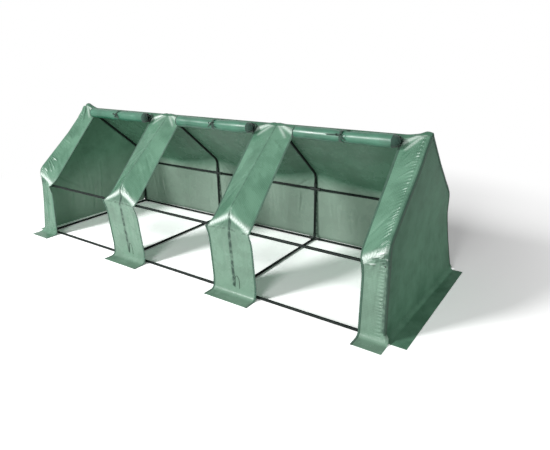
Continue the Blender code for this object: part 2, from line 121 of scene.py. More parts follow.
def coat_grain():
    """Powder coat: fine orange peel, faint cloudiness, and thin paint on edges and knocks."""
    tree, given, sent = new_effect(
        "coat_grain",
        [("Peel Size", "NodeSocketFloat", 900.0), ("Wear", "NodeSocketFloat", 0.3)],
        [("Wear", "NodeSocketFloat"), ("Roughness", "NodeSocketFloat"), ("Height", "NodeSocketFloat")],
    )
    place = node(tree, "ShaderNodeTexCoord").outputs["Object"]
    cloud = noise(tree, place, 14.0, 5.0, 0.65)
    feed(tree, sent, {
        "Wear": maths(tree, "MULTIPLY", ranged(tree, cloud, 0.60, 0.74), given.outputs["Wear"]),
        "Roughness": ranged(tree, cloud, 0.3, 0.7, 0.42, 0.60),
        "Height": noise(tree, place, given.outputs["Peel Size"], 2.0),
    })
    return tree


GRAIN = coat_grain()


def plain_finish(name):
    """A material with a Principled shader and nothing else, for the section to fill."""
    made = bpy.data.materials.new(name)
    made.use_nodes = True
    return made, made.node_tree, made.node_tree.nodes["Principled BSDF"]


def coated(name, colour, worn, wear, peel, depth, metallic, specular=0.3):
    """A coated or moulded surface that is worn to a second colour in places."""
    made, tree, shader = plain_finish(name)
    grain = node(tree, "ShaderNodeGroup", {"Wear": wear, "Peel Size": peel}, node_tree=GRAIN)
    feed(tree, shader, {
        "Base Color": blended(tree, grain.outputs["Wear"], colour, worn),
        "Roughness": grain.outputs["Roughness"],
        "Normal": bumped(tree, grain.outputs["Height"], 0.35, depth),
        "Metallic": metallic,
        "Specular IOR Level": specular,
    })
    return made


tube_paint = coated("tube_paint_coat", PAINT, WORN_PAINT, wear=0.35, peel=900.0, depth=0.0002, metallic=0.0,
                    specular=0.16)


def middle(name):
    """The middle of a solid's box."""
    low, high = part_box(name)
    return (low + high) / 2


def finished(bm, name):
    """A mesh with all its faces looking out."""
    bmesh.ops.recalc_face_normals(bm, faces=bm.faces)
    mesh = bpy.data.meshes.new(name)
    bm.to_mesh(mesh)
    bm.free()
    return mesh


def skin(bm, rings):
    """Add a closed skin through rings of points."""
    loops = [[bm.verts.new(point) for point in ring] for ring in rings]
    count = len(loops[0])
    for lower, upper in zip(loops, loops[1:]):
        for step in range(count):
            follow = (step + 1) % count
            bm.faces.new((lower[step], lower[follow], upper[follow], upper[step]))
    bm.faces.new(loops[0])
    bm.faces.new(loops[-1])


def round_bar(path, radii, side, sides=TUBE_SIDES):
    """A closed round bar along a flat path, with a radius for each point. side is square to the path."""
    points = [Vector(point) for point in path]
    turns = [2 * math.pi * step / sides for step in range(sides)]
    rings = []
    for number, (point, radius) in enumerate(zip(points, radii)):
        ahead = points[min(number + 1, len(points) - 1)] - points[max(number - 1, 0)]
        across = ahead.normalized().cross(side)
        rings.append([point + radius * (math.cos(turn) * side + math.sin(turn) * across) for turn in turns])
    bm = bmesh.new()
    skin(bm, rings)
    return finished(bm, "round_bar")


def smooth(mesh, angle=40):
    """The mesh shaded smooth, but for edges sharper than an angle in degrees."""
    mesh.shade_smooth()
    mesh.set_sharp_from_angle(angle=math.radians(angle))
    return mesh


def in_scene(name, data):
    """A new object in the scene."""
    made = bpy.data.objects.new(name, data)
    bpy.context.scene.collection.objects.link(made)
    return made


def piece(name, mesh, finish, body="greenhouse", stands_for=(), place=None):
    """A finished piece of the greenhouse, on the body that it rides with."""
    made = in_scene(name, mesh)
    if not mesh.materials:
        mesh.materials.append(finish)
    if place is not None:
        made.matrix_world = place
    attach(made, body)
    if stands_for:
        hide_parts(*stands_for)
    return made


HOOPS = [middle(f"base_cross_{number}").x for number in range(1, 5)]
BAY = HOOPS[1] - HOOPS[0]
HALF_LENGTH = HOOPS[-1]
HALF_DEPTH = -middle("base_rail_front_1").y
BASE_Z = middle("base_rail_front_1").z
MID_Z = middle("mid_rail_front_1").z
RIDGE_Z = middle("ridge_rail_1").z
SEAT = 0.0098
LIP_LENGTH = 0.0006
LIP_DEPTH = 0.0005
ALONG_X = Vector((1, 0, 0))
ALONG_Y = Vector((0, 1, 0))
UP = Vector((0, 0, 1))


def straight_tube(start, end, side):
    """A tube whose cut ends are rounded over."""
    lip = (end - start) * (LIP_LENGTH / (end - start).length)
    path = [start, start + lip, end - lip, end]
    slim = TUBE_RADIUS - LIP_DEPTH
    return smooth(round_bar(path, (slim, TUBE_RADIUS, TUBE_RADIUS, slim), side))


def tube_piece(cad, tube, place=None):
    """A painted tube in place of a solid."""
    piece(cad + "_tube", tube, tube_paint, stands_for=[cad], place=place)


def bay_rails(label, y, z):
    """One rail in each bay, between the fittings of its two hoops."""
    for number, (left, right) in enumerate(zip(HOOPS, HOOPS[1:]), start=1):
        start, end = Vector((left + SEAT, y, z)), Vector((right - SEAT, y, z))
        tube_piece(f"{label}_{number}", straight_tube(start, end, UP))


bay_rails("base_rail_front", -HALF_DEPTH, BASE_Z)
bay_rails("base_rail_back", HALF_DEPTH, BASE_Z)
for number, hoop_x in enumerate(HOOPS, start=1):
    start, end = Vector((hoop_x, SEAT - HALF_DEPTH, BASE_Z)), Vector((hoop_x, HALF_DEPTH - SEAT, BASE_Z))
    tube_piece(f"base_cross_{number}", straight_tube(start, end, UP))

# Foot fittings: eight moulded corner and three-way sockets that the rails, cross bars and posts push into.
# Each is one moulding of nearly black plastic, with a thicker bead round the mouth of every socket.
SLEEVE_RADIUS = 0.0103
BORE_RADIUS = 0.0083
ARM = 0.040
ARM_SLIMMER = 0.0003
BEAD = 0.0009
BEAD_WIDTH = 0.0050
HUB_BACK = 0.0105
BORE_START = 0.9 * SEAT
BORE_PAST = 0.001
FITTING_SIDES = 24
PLASTIC = (0.010, 0.017, 0.014)
WORN_PLASTIC = (0.030, 0.040, 0.036)

fitting_plastic = coated("fitting_plastic_moulding", PLASTIC, WORN_PLASTIC, wear=0.5, peel=260.0,
                         depth=0.0003, metallic=0.0)


def arm(direction, side, slimmer=0.0, back=0.0):
    """One socket arm of a fitting, from behind the hub to its beaded mouth."""
    radius = SLEEVE_RADIUS - slimmer * ARM_SLIMMER
    stops = (-back, ARM - BEAD_WIDTH - BEAD, ARM - BEAD_WIDTH, ARM - BEAD, ARM)
    radii = (radius, radius, radius + BEAD, radius + BEAD, radius + BEAD / 3)
    return round_bar([direction * stop for stop in stops], radii, side, FITTING_SIDES)


def hollow(direction, side):
    """The cutter for one arm's socket."""
    path = [direction * BORE_START, direction * (ARM + BORE_PAST)]
    return round_bar(path, (BORE_RADIUS, BORE_RADIUS), side, FITTING_SIDES)


def fused(name, solids, cuts):
    """One mesh: the solids joined together, then cut."""
    made = [in_scene(name, mesh) for mesh in solids + cuts]
    for number, other in enumerate(made[1:], start=1):
        step = made[0].modifiers.new("step", "BOOLEAN")
        step.operation = "UNION" if number < len(solids) else "DIFFERENCE"
        step.object = other
    graph = bpy.context.evaluated_depsgraph_get()
    mesh = bpy.data.meshes.new_from_object(made[0].evaluated_get(graph))
    mesh.name = name
    for one in made:
        bpy.data.objects.remove(one)
    return smooth(mesh)


def fitting(name, arms):
    """A hub with socket arms. Each arm is its direction and the way, square to it, that its ring starts."""
    solids = [arm(direction, side, slimmer, HUB_BACK) for slimmer, (direction, side) in enumerate(arms)]
    return fused(name, solids, [hollow(direction, side) for direction, side in arms])


def fitting_piece(name, mesh, cad, at):
    """A moulded fitting at its place, for a solid or a part of one."""
    piece(name, mesh, fitting_plastic, stands_for=[cad], place=Matrix.Translation(at))


def rail_arms(number):
    """The directions in which a hoop's fittings take rails."""
    found = []
    if number > 1:
        found.append((-ALONG_X, UP))
    if number < len(HOOPS):
        found.append((ALONG_X, UP))
    return found


for number, hoop_x in enumerate(HOOPS, start=1):
    for label, y, inward in (("front", -HALF_DEPTH, ALONG_Y), ("back", HALF_DEPTH, -ALONG_Y)):
        foot = fitting("foot", rail_arms(number) + [(inward, UP), (UP, ALONG_X)])
        cad = f"foot_{label}_{number}"
        fitting_piece(cad + "_socket", foot, cad, (hoop_x, y, BASE_Z))

# Hoops: each side is a post with a tee near its top and a rafter bent at the knee, in 16 mm tube.
# A ridge fitting joins the two rafters of a hoop and takes the ridge rails.
KNEE_Z = 0.480
BEND_RADIUS = 0.070
SLOPE = math.atan2(RIDGE_Z - KNEE_Z, HALF_DEPTH)
BEND_ANGLE = math.pi / 2 - SLOPE
BEND_REACH = BEND_RADIUS * math.tan(BEND_ANGLE / 2)
BEND_PARTS = 12


def rafter(side):
    """The rafter from its tee, round the knee, to the ridge fitting. side is -1 in front and 1 behind."""
    path = [Vector((0, side * HALF_DEPTH, MID_Z + SEAT))]
    centre_out, centre_z = HALF_DEPTH - BEND_RADIUS, KNEE_Z - BEND_REACH
    for step in range(BEND_PARTS + 1):
        turn = BEND_ANGLE * step / BEND_PARTS
        out = centre_out + BEND_RADIUS * math.cos(turn)
        path.append(Vector((0, side * out, centre_z + BEND_RADIUS * math.sin(turn))))
    path.append(Vector((0, side * SEAT * math.cos(SLOPE), RIDGE_Z - SEAT * math.sin(SLOPE))))
    return smooth(round_bar(path, [TUBE_RADIUS] * len(path), ALONG_X))


for number, hoop_x in enumerate(HOOPS, start=1):
    across = rail_arms(number)
    slopes = []
    for label, side in (("front", -1), ("back", 1)):
        y = side * HALF_DEPTH
        low, high = Vector((hoop_x, y, BASE_Z + SEAT)), Vector((hoop_x, y, MID_Z - SEAT))
        cad = f"post_{label}_{number}"
        tube_piece(cad, straight_tube(low, high, ALONG_X))
        tee = fitting("tee", across + [(UP, ALONG_X), (-UP, ALONG_X)])
        fitting_piece(f"tee_{label}_{number}", tee, cad, (hoop_x, y, MID_Z))
        tube_piece(f"rafter_{label}_{number}", rafter(side), Matrix.Translation((hoop_x, 0, 0)))
        slopes.append((Vector((0, side * math.cos(SLOPE), -math.sin(SLOPE))), ALONG_X))
    ridge = fitting("ridge", across + slopes)
    fitting_piece(f"ridge_fitting_{number}", ridge, f"rafter_front_{number}", (hoop_x, 0, RIDGE_Z))

# Long rails: three ridge rails and six mid rails of the same tube.
# Each is one bay long, and is pushed into the tees or the ridge fittings of two hoops.
bay_rails("ridge_rail", 0, RIDGE_Z)
bay_rails("mid_rail_front", -HALF_DEPTH, MID_Z)
bay_rails("mid_rail_back", HALF_DEPTH, MID_Z)

# Main cover: back wall, roof and a narrow header down the front, in one length of film.
# It is green polyethylene laminated over a grid of threads: glossy, a little translucent and crinkled.
FILM_OFFSET = 0.0109
LAP = 0.0012
HEADER = 0.014
WALL_LEAN = 0.015
FLARE_RADIUS = 0.030
FLAP = 0.090
LIE = 0.0015
END_PLANE = HALF_LENGTH + FILM_OFFSET
STRIP_REACH = 0.125
CREST = 0.006
BACK_HOLD = 0.45
CORNER_RADIUS = 0.0080
CORNER_TAIL = [(math.pi / 2, more) for more in (0.0035, 0.007, 0.0105, 0.014)]
FOLD_OUT = 0.012
FOLDS_PER_BAY = 3
PEAK_LIFT = {-1: 0.040, 1: 0.027}
PEAK_REACH = 0.130
PEAK_DEPTH = 0.200
PEAK_CREST = 0.035
SPLAY = {-1: (0.060, 0.030), 1: (0.010, 0.055)}
SPLAY_REACH = 0.200
SEAM_IN = 0.020
CHORD = math.atan2(RIDGE_Z - MID_Z, HALF_DEPTH)
RIDGE_STEPS, HEADER_STEPS, ROOF_STEPS, BEND_STEPS, DROP_STEPS = 4, 4, 70, 12, 10
WALL_STEPS, FLARE_STEPS, FLAP_STEPS = 50, 8, 12
HEADER_ROW = RIDGE_STEPS + HEADER_STEPS
MID_ROW = HEADER_ROW + ROOF_STEPS + BEND_STEPS + DROP_STEPS
FILM_DEEP = (0.056, 0.150, 0.094)
FILM_PALE = (0.158, 0.318, 0.220)
# Painted shade: darker copies of the film colours for the main sheet, for the shade under the roof.
ROOF_PAINTED_SHADE_DEEP = (0.034, 0.110, 0.064)
ROOF_PAINTED_SHADE_PALE = (0.090, 0.215, 0.142)
# Painted light: a paler, greyer film colour laid on the lower film for light and sheen from the white floor.
FILM_PAINTED_FLOOR_LIGHT = (0.420, 0.500, 0.430)
# Painted highlight: the colour laid along folds and creases where they catch the light.
FILM_PAINTED_HIGHLIGHT = (0.820, 0.930, 0.860)
FILM_ROLLED = (0.013, 0.105, 0.058)
FILM_ROLLED_PALE = (0.048, 0.210, 0.128)
FILM_THROUGH = (0.130, 0.280, 0.180)
# Painted shade: the colour of tube shadows seen through the film, of shaded creases and of the turned
# corners.
FILM_PAINTED_SHADE = (0.012, 0.040, 0.027)
THREAD_PITCH = 0.0085
CRINKLE_DEPTH = 0.0006
LET_THROUGH = 0.16


def woven_film():
    """Laminated film: a grid of threads, cloudy colour, and fine crinkles between the threads."""
    tree, given, sent = new_effect(
        "woven_film",
        [("Place", "NodeSocketVector", None), ("Pitch", "NodeSocketFloat", THREAD_PITCH)],
        [("Threads", "NodeSocketFloat"), ("Cloud", "NodeSocketFloat"), ("Roughness", "NodeSocketFloat"),
         ("Height", "NodeSocketFloat")],
    )
    place = given.outputs["Place"]
    parts = node(tree, "ShaderNodeSeparateXYZ", {0: place})
    lines = []
    for axis in (0, 1):
        count = maths(tree, "DIVIDE", parts.outputs[axis], given.outputs["Pitch"])
        lines.append(ranged(tree, maths(tree, "PINGPONG", count, 0.5), 0.05, 0.14, 1.0, 0.0, "SMOOTHSTEP"))
    threads = maths(tree, "MAXIMUM", *lines)
    cloud = noise(tree, place, 7.0, 4.0, 0.6)
    crinkle = noise(tree, place, 55.0, 4.0, 0.55)
    ridged = maths(tree, "ABSOLUTE", maths(tree, "SUBTRACT", crinkle, 0.5))
    feed(tree, sent, {
        "Threads": threads,
        "Cloud": cloud,
        "Roughness": ranged(tree, cloud, 0.3, 0.7, 0.20, 0.33),
        "Height": maths(tree, "MULTIPLY_ADD", threads, 0.35, maths(tree, "MULTIPLY", ridged, -4.0)),
    })
    return tree


def tube_shadow_lines():
    """Painted shadow: the dark line of a tube seen through the film, along the hoops and two rails."""
    tree, given, sent = new_effect(
        "tube_shadow_lines",
        [("Place", "NodeSocketVector", None), ("First Hoop", "NodeSocketFloat", 0.0),
         ("Half Bay", "NodeSocketFloat", 0.44), ("Upper Rail", "NodeSocketFloat", 9.0),
         ("Lower Rail", "NodeSocketFloat", 9.0), ("Foot", "NodeSocketFloat", 9.0)],
        [("Tube Shadow", "NodeSocketFloat")],
    )
    place = given.outputs["Place"]
    parts = node(tree, "ShaderNodeSeparateXYZ", {0: place})
    down = parts.outputs[1]
    from_first = maths(tree, "SUBTRACT", parts.outputs[0], given.outputs["First Hoop"])
    from_hoop = maths(tree, "PINGPONG", from_first, given.outputs["Half Bay"])
    patchy = noise(tree, place, 38.0, 2.0)
    wide = ranged(tree, down, 0.60, 0.66, 0.0020, 0.0115)
    firm = ranged(tree, down, 0.60, 0.66, 0.55, 1.0)
    broken = ranged(tree, patchy, 0.36, 0.54, 0.35, 1.0)
    line = maths(tree, "DIVIDE", from_hoop, maths(tree, "MULTIPLY_ADD", patchy, 0.004, wide))
    above_foot = maths(tree, "LESS_THAN", down, given.outputs["Foot"])
    mark = maths(tree, "MULTIPLY", maths(tree, "SUBTRACT", 1.0, line), above_foot)
    mark = ranged(tree, mark, 0.0, 0.7, curve="SMOOTHSTEP")
    mark = maths(tree, "MULTIPLY", mark, maths(tree, "MULTIPLY", firm, broken))
    for rail in ("Upper Rail", "Lower Rail"):
        away = maths(tree, "ABSOLUTE", maths(tree, "SUBTRACT", down, given.outputs[rail]))
        line = ranged(tree, away, 0.011, 0.002, curve="SMOOTHSTEP")
        seen = ranged(tree, patchy, 0.42, 0.60, 0.0, 0.55)
        mark = maths(tree, "MAXIMUM", mark, maths(tree, "MULTIPLY", line, seen))
    feed(tree, sent, {"Tube Shadow": mark})
    return tree


WOVEN_FILM = woven_film()
TUBE_SHADOW_LINES = tube_shadow_lines()


def film_finish(name, rails=(), tube_shadow_strength=0.0, foot=9.0, floor_light_from=9.0, floor_light=0.0, gloss=0.35, crinkle=0.5,
                rougher=0.0, colours=(FILM_DEEP, FILM_PALE), floor_light_run=0.12):
    """The film's material: painted tube shadows, a paler lower part of painted floor light, and painted
    highlights and shade on creases.
    """
    made, tree, shader = plain_finish(name)
    place = node(tree, "ShaderNodeAttribute", attribute_name="film_place").outputs["Vector"]
    weave = node(tree, "ShaderNodeGroup", {"Place": place}, node_tree=WOVEN_FILM)
    known = {"Place": place, "First Hoop": HOOPS[0], "Half Bay": BAY / 2, "Foot": foot}
    tube_shadows = node(tree, "ShaderNodeGroup", {**known, **dict(zip(("Upper Rail", "Lower Rail"), rails))},
                 node_tree=TUBE_SHADOW_LINES)
    threads = weave.outputs["Threads"]
    cloudy = ranged(tree, weave.outputs["Cloud"], 0.36, 0.64, 0.06, 0.72)
    film = blended(tree, maths(tree, "MULTIPLY_ADD", threads, 0.50, cloudy), *colours)
    down = node(tree, "ShaderNodeSeparateXYZ", {0: place}).outputs[1]
    # Painted light: from the given row down, the film turns paler for light and sheen from the white floor.
    film = blended(tree, ranged(tree, down, floor_light_from, floor_light_from + floor_light_run, 0.0, floor_light), film, FILM_PAINTED_FLOOR_LIGHT)
    # Painted light from a mesh attribute: above 0 a painted highlight, below 0 painted shade.
    painted_light = node(tree, "ShaderNodeAttribute", attribute_name="film_painted_light").outputs["Fac"]
    hatched = maths(tree, "MULTIPLY_ADD", threads, 0.35, 0.65)
    painted_highlight = ranged(tree, maths(tree, "MULTIPLY", painted_light, hatched), 0.0, 1.0)
    painted_shade = ranged(tree, painted_light, 0.0, -1.0)
    film = blended(tree, painted_shade, blended(tree, painted_highlight, film, FILM_PAINTED_HIGHLIGHT), FILM_PAINTED_SHADE)
    # Painted shadow: the tube lines darken the film's colour and the light let through it.
    mark = maths(tree, "MULTIPLY", tube_shadows.outputs["Tube Shadow"], tube_shadow_strength)
    dull = maths(tree, "MULTIPLY_ADD", painted_shade, 0.5, rougher)
    feed(tree, shader, {
        "Base Color": blended(tree, mark, film, FILM_PAINTED_SHADE),
        "Roughness": maths(tree, "ADD", weave.outputs["Roughness"], dull),
        "Normal": bumped(tree, weave.outputs["Height"], crinkle, CRINKLE_DEPTH),
        "Specular IOR Level": gloss,
    })
    glow = blended(tree, mark, FILM_THROUGH, FILM_PAINTED_SHADE)
    through = node(tree, "ShaderNodeBsdfTranslucent", {"Color": glow})
    both = node(tree, "ShaderNodeMixShader", {0: LET_THROUGH, 1: shader.outputs[0], 2: through.outputs[0]})
    feed(tree, tree.nodes["Material Output"], {"Surface": both.outputs[0]})
    return made


def ramp(value, start, end):
    """How far a value has come from start to end, from 0 to 1. The end may lie below the start."""
    return np.clip((value - start) / (end - start), 0, 1)


def arc(out, z, radius, first, last, steps):
    """Points on an arc, as (out, z), at angles measured outward from straight up."""
    turn = np.linspace(first, last, steps + 1)
    return np.stack((out + radius * np.sin(turn), z + radius * np.cos(turn)), axis=1)


def straight(start, end, steps):
    start, end = np.array(start), np.array(end)
    return start + (end - start) * np.linspace(0, 1, steps + 1)[:, None]


def joined(*stretches):
    return np.concatenate([stretches[0]] + [stretch[1:] for stretch in stretches[1:]])


def wall_line(offset, flap):
    """The film's line below the mid rail: a leaning wall, a flare and a flap on the ground."""
    foot = HALF_DEPTH + offset + WALL_LEAN
    turn = np.linspace(0, math.pi / 2, FLARE_STEPS + 1)
    rise = FLARE_RADIUS * (1 - np.sin(turn))
    flare = np.stack((foot + FLARE_RADIUS * (1 - np.cos(turn)), np.maximum(rise, LIE)), axis=1)
    top = (HALF_DEPTH + offset, MID_Z)
    wall = straight(top, flare[0], WALL_STEPS)
    return joined(wall, flare, straight(flare[-1], (foot + flap, LIE), FLAP_STEPS))


def film_line(knee, bend_radius, slope, offset, flap):
    """The film's line from the ridge to the flap's edge, as (out, z). The bend's middle is at knee."""
    ridge = arc(0, RIDGE_Z, offset, 0, slope, RIDGE_STEPS)
    down = HEADER * np.array((math.cos(slope), -math.sin(slope)))
    header = straight(ridge[-1], ridge[-1] + down, HEADER_STEPS)
    bend = arc(HALF_DEPTH - bend_radius, knee, bend_radius + offset, slope, math.pi / 2, BEND_STEPS)
    wall = wall_line(offset, flap)
    roof = straight(header[-1], bend[0], ROOF_STEPS)
    return joined(ridge, header, roof, bend, straight(bend[-1], wall[0], DROP_STEPS), wall)


def hoop_line(offset=FILM_OFFSET, flap=FLAP):
    """The line over a hoop, round the tube's bend."""
    return film_line(KNEE_Z - BEND_REACH, BEND_RADIUS, SLOPE, offset, flap)


def chord_line(offset=FILM_OFFSET, flap=FLAP):
    """The line between hoops, straight from the ridge rail to the mid rail."""
    return film_line(MID_Z + 0.004, 0, CHORD, offset, flap)


def run_along(line):
    """How far along a line each of its points lies."""
    return np.concatenate(([0], np.cumsum(np.linalg.norm(np.diff(line, axis=0), axis=1))))


def from_hoop(x):
    """How far x is from the nearest hoop."""
    return np.min([np.abs(x - hoop_x) for hoop_x in HOOPS], axis=0)


def front_share(x):
    """How far a hoop pushes the front film out: 1 over the hoop, 0 where a strip ends."""
    away = np.sqrt(from_hoop(x) ** 2 + CREST ** 2) - CREST
    return np.where(np.abs(x) > HALF_LENGTH, 1.0, ramp(away, STRIP_REACH, 0))


def back_share(x):
    """The back film stays nearer the hoops' line, because it is held all along both rails."""
    sag = np.sin(math.pi / 2 * ramp(from_hoop(x), 0, BAY / 2))
    return np.where(np.abs(x) > HALF_LENGTH, 1.0, 1 - (1 - BACK_HOLD) * sag)


def lifted(x, out, z):
    """The loose film stands up at both gable seams."""
    along = np.maximum(0, (np.abs(x) - END_PLANE + PEAK_REACH) / PEAK_REACH) ** 1.5
    along = along * (1 - 0.5 * ramp(np.abs(x), END_PLANE - PEAK_CREST, END_PLANE) ** 2)
    across = np.maximum(0, 1 - out / PEAK_DEPTH)
    return z + np.where(x < 0, PEAK_LIFT[-1], PEAK_LIFT[1]) * along * across


def film_grid(x, share):
    """Film points as rows by columns by (x, out, z), for columns at x."""
    over, between = hoop_line()[:, None, :], chord_line()[:, None, :]
    flat = between + (over - between) * share[None, :, None]
    across = np.broadcast_to(x, flat.shape[:2])
    return np.stack((across, flat[..., 0], lifted(across, flat[..., 0], flat[..., 1])), axis=-1)


def normals(points):
    """The direction out of a grid, seen from outside: its rows run down and its columns to the right."""
    along, across = np.gradient(points, axis=0), np.gradient(points, axis=1)
    square = np.cross(along, across)
    return square / np.maximum(np.linalg.norm(square, axis=-1, keepdims=True), 1e-12)


def fold(u, v, start, end, width, height):
    """The height of a soft fold in the film that runs from start to end and dies out at both."""
    (u0, v0), (u1, v1) = start, end
    reach = (u1 - u0) ** 2 + (v1 - v0) ** 2
    share = np.clip(((u - u0) * (u1 - u0) + (v - v0) * (v1 - v0)) / reach, 0, 1)
    away = np.hypot(u - u0 - share * (u1 - u0), v - v0 - share * (v1 - v0))
    return height * np.exp(-((away / width) ** 2)) * np.sqrt(np.sin(math.pi * share) + 1e-9)


def random_folds(u, v, draws, count, x, y, aside, down, width, height, foot=None):
    """The sum of many folds, with each value drawn between two limits.
    A fold starts at x and y and ends aside and down from there, or down from foot where that is given."""
    total = np.zeros(u.shape)
    for _ in range(count):
        top = (draws.uniform(*x), draws.uniform(*y))
        bottom = (top[0] + draws.uniform(*aside), (top[1] if foot is None else foot) + draws.uniform(*down))
        total += fold(u, v, top, bottom, draws.uniform(*width), draws.uniform(*height))
    return total


def shoulder_folds(u, v):
    """Beside each hoop the film is drawn from the ridge down to the top of the zips, in a raised fold."""
    height = np.zeros(u.shape)
    for hoop_x in HOOPS:
        for lean in (-1, 1):
            height += fold(u, v, (hoop_x, -0.004), (hoop_x + lean * 0.150, 0.062), 0.010, 0.009)
            height += fold(u, v, (hoop_x, 0.004), (hoop_x + lean * 0.100, 0.090), 0.008, 0.004)
    return height


def seam_puckers(from_corner, v, draws, pitch, height):
    """The corner seam's stitches gather the film into a ladder of short ridges beside the seam."""
    waves = np.sin(v * draws.uniform(18, 26) + draws.uniform(0, 6)) * np.sin(v * 7.3 + draws.uniform(0, 6))
    rungs = np.sin(2 * math.pi * v / pitch + 1.7 * np.sin(v * 40.0)) * (0.35 + 0.65 * (0.5 + 0.5 * waves))
    inside = np.maximum(from_corner - SEAM_IN, 0)
    ladder = rungs * ramp(inside, 0, 0.006) * np.exp(-((inside / 0.030) ** 2))
    stitches = 0.7 * np.exp(-(((from_corner - SEAM_IN) / 0.0035) ** 2))
    return height * (ladder - stitches) * ramp(v, FOOT_V + 0.02, FOOT_V - 0.01)


def splayed(points):
    """The loose foot of the cover stands off from the frame's corners, most where the film was left slack."""
    x, y, z = points[..., 0], points[..., 1], points[..., 2]
    near_end = ramp(np.abs(x), END_PLANE - SPLAY_REACH, END_PLANE) ** 2
    low = ramp(z, MID_Z, 0) ** 1.3
    to_back = ramp(y, -HALF_DEPTH, HALF_DEPTH)
    front, back = np.where(x < 0, SPLAY[-1][0], SPLAY[1][0]), np.where(x < 0, SPLAY[-1][1], SPLAY[1][1])
    on_flap = 1 - 0.7 * ramp(np.abs(x), END_PLANE, END_PLANE + 0.11)
    moved = points.copy()
    moved[..., 0] += np.sign(x) * near_end * low * on_flap * (front + (back - front) * to_back)
    return moved


def finer(values, times):
    """The rows of a grid, with more rows evenly between each two."""
    share = np.linspace(0, 1, times, endpoint=False).reshape(1, times, *[1] * (values.ndim - 1))
    between = values[:-1, None] * (1 - share) + values[1:, None] * share
    return np.concatenate((between.reshape(-1, *values.shape[1:]), values[-1:]))


def softened(points, run, reach):
    """Film doesn't take a sharp crease: each point moves to the mean of its column over a short reach."""
    near_end = np.minimum(run - run[0], run[-1] - run)
    width = reach * np.clip(near_end / 0.04, 0.02, 1)
    share = np.exp(-(((run[:, None] - run[None, :]) / width[:, None]) ** 2)) * np.gradient(run)[None, :]
    return np.tensordot(share / share.sum(axis=1, keepdims=True), points, axes=(1, 0))


def film_mesh(name, points, place, finishes, painted_light=None):
    """A mesh on a grid of points, with each point's place on the flat sheet kept for the weave.
    Its last argument is painted light: 1 gives a painted highlight on a crease, and below 0 painted shade."""
    rows, columns = points.shape[:2]
    index = np.arange(rows * columns).reshape(rows, columns)
    corners = (index[:-1, :-1], index[1:, :-1], index[1:, 1:], index[:-1, 1:])
    mesh = bpy.data.meshes.new(name)
    mesh.from_pydata(points.reshape(-1, 3).tolist(), [], np.stack(corners, axis=-1).reshape(-1, 4).tolist())
    kept = mesh.attributes.new("film_place", "FLOAT_VECTOR", "POINT")
    flat = np.zeros((rows * columns, 3), np.float32)
    flat[:, :2] = place.reshape(-1, 2)
    kept.data.foreach_set("vector", flat.ravel())
    if painted_light is not None:
        kept = mesh.attributes.new("film_painted_light", "FLOAT", "POINT")
        kept.data.foreach_set("value", painted_light.astype(np.float32).ravel())
    for finish in finishes:
        mesh.materials.append(finish)
    mesh.shade_smooth()
    return mesh


def turned_corner(edge, inward, side, stretch):
    """Columns that carry a sheet's end round the gable's corner and a little way on, nearest first."""
    radius = CORNER_RADIUS + LAP
    columns = []
    for turn, more in [(turn, 0.0) for turn in np.linspace(0, math.pi / 2, 6)[1:]] + CORNER_TAIL:
        angle = turn * stretch
        out = radius * np.sin(angle) + (turn - angle) * radius + more * np.cos(angle)
        back = radius * (1 - np.cos(angle)) + more * np.sin(angle)
        column = edge + inward * back[:, None]
        column[:, 0] += side * out
        columns.append(column)
    return np.stack(columns, axis=1)


def corner_stretch(z):
    """1 where a sheet's end goes round the corner, 0 on the ground, where the corner is slit open."""
    return ramp(z, 0.008, 0.038)


def inward_of(edge, sense):
    """The direction into the greenhouse, square to the film's line, for each row of one column."""
    along = np.gradient(edge, axis=0) * sense
    inward = np.stack((np.zeros(len(edge)), along[:, 2], -along[:, 1]), axis=1)
    return inward / np.maximum(np.linalg.norm(inward, axis=1, keepdims=True), 1e-12)


dice = random.Random(11)
HOOP_RUN = run_along(hoop_line())
MID_V, FOOT_V, END_V = HOOP_RUN[MID_ROW], HOOP_RUN[MID_ROW + WALL_STEPS], HOOP_RUN[-1]
HEADER_V = HOOP_RUN[HEADER_ROW]
CORNER_U = (CORNER_RADIUS + LAP) * math.pi / 2 + CORNER_TAIL[-1][1]
MAIN_COLUMNS = 401
main_x = np.linspace(END_PLANE - CORNER_RADIUS, CORNER_RADIUS - END_PLANE, MAIN_COLUMNS)
header_part = film_grid(main_x, front_share(main_x))[1:HEADER_ROW + 1][::-1]
header_part[..., 1] *= -1
main_points = np.concatenate((header_part, film_grid(main_x, back_share(main_x))))
main_v = np.concatenate((-HOOP_RUN[1:HEADER_ROW + 1][::-1], HOOP_RUN))
u, v = np.meshgrid(main_x, main_v)
on_wall = ramp(v, MID_V, MID_V + 0.10) * ramp(v, END_V - 0.10, END_V - 0.16)
ripple = FOLD_OUT * np.sin(FOLDS_PER_BAY * math.pi * (u + HALF_LENGTH) / BAY) ** 2 * on_wall
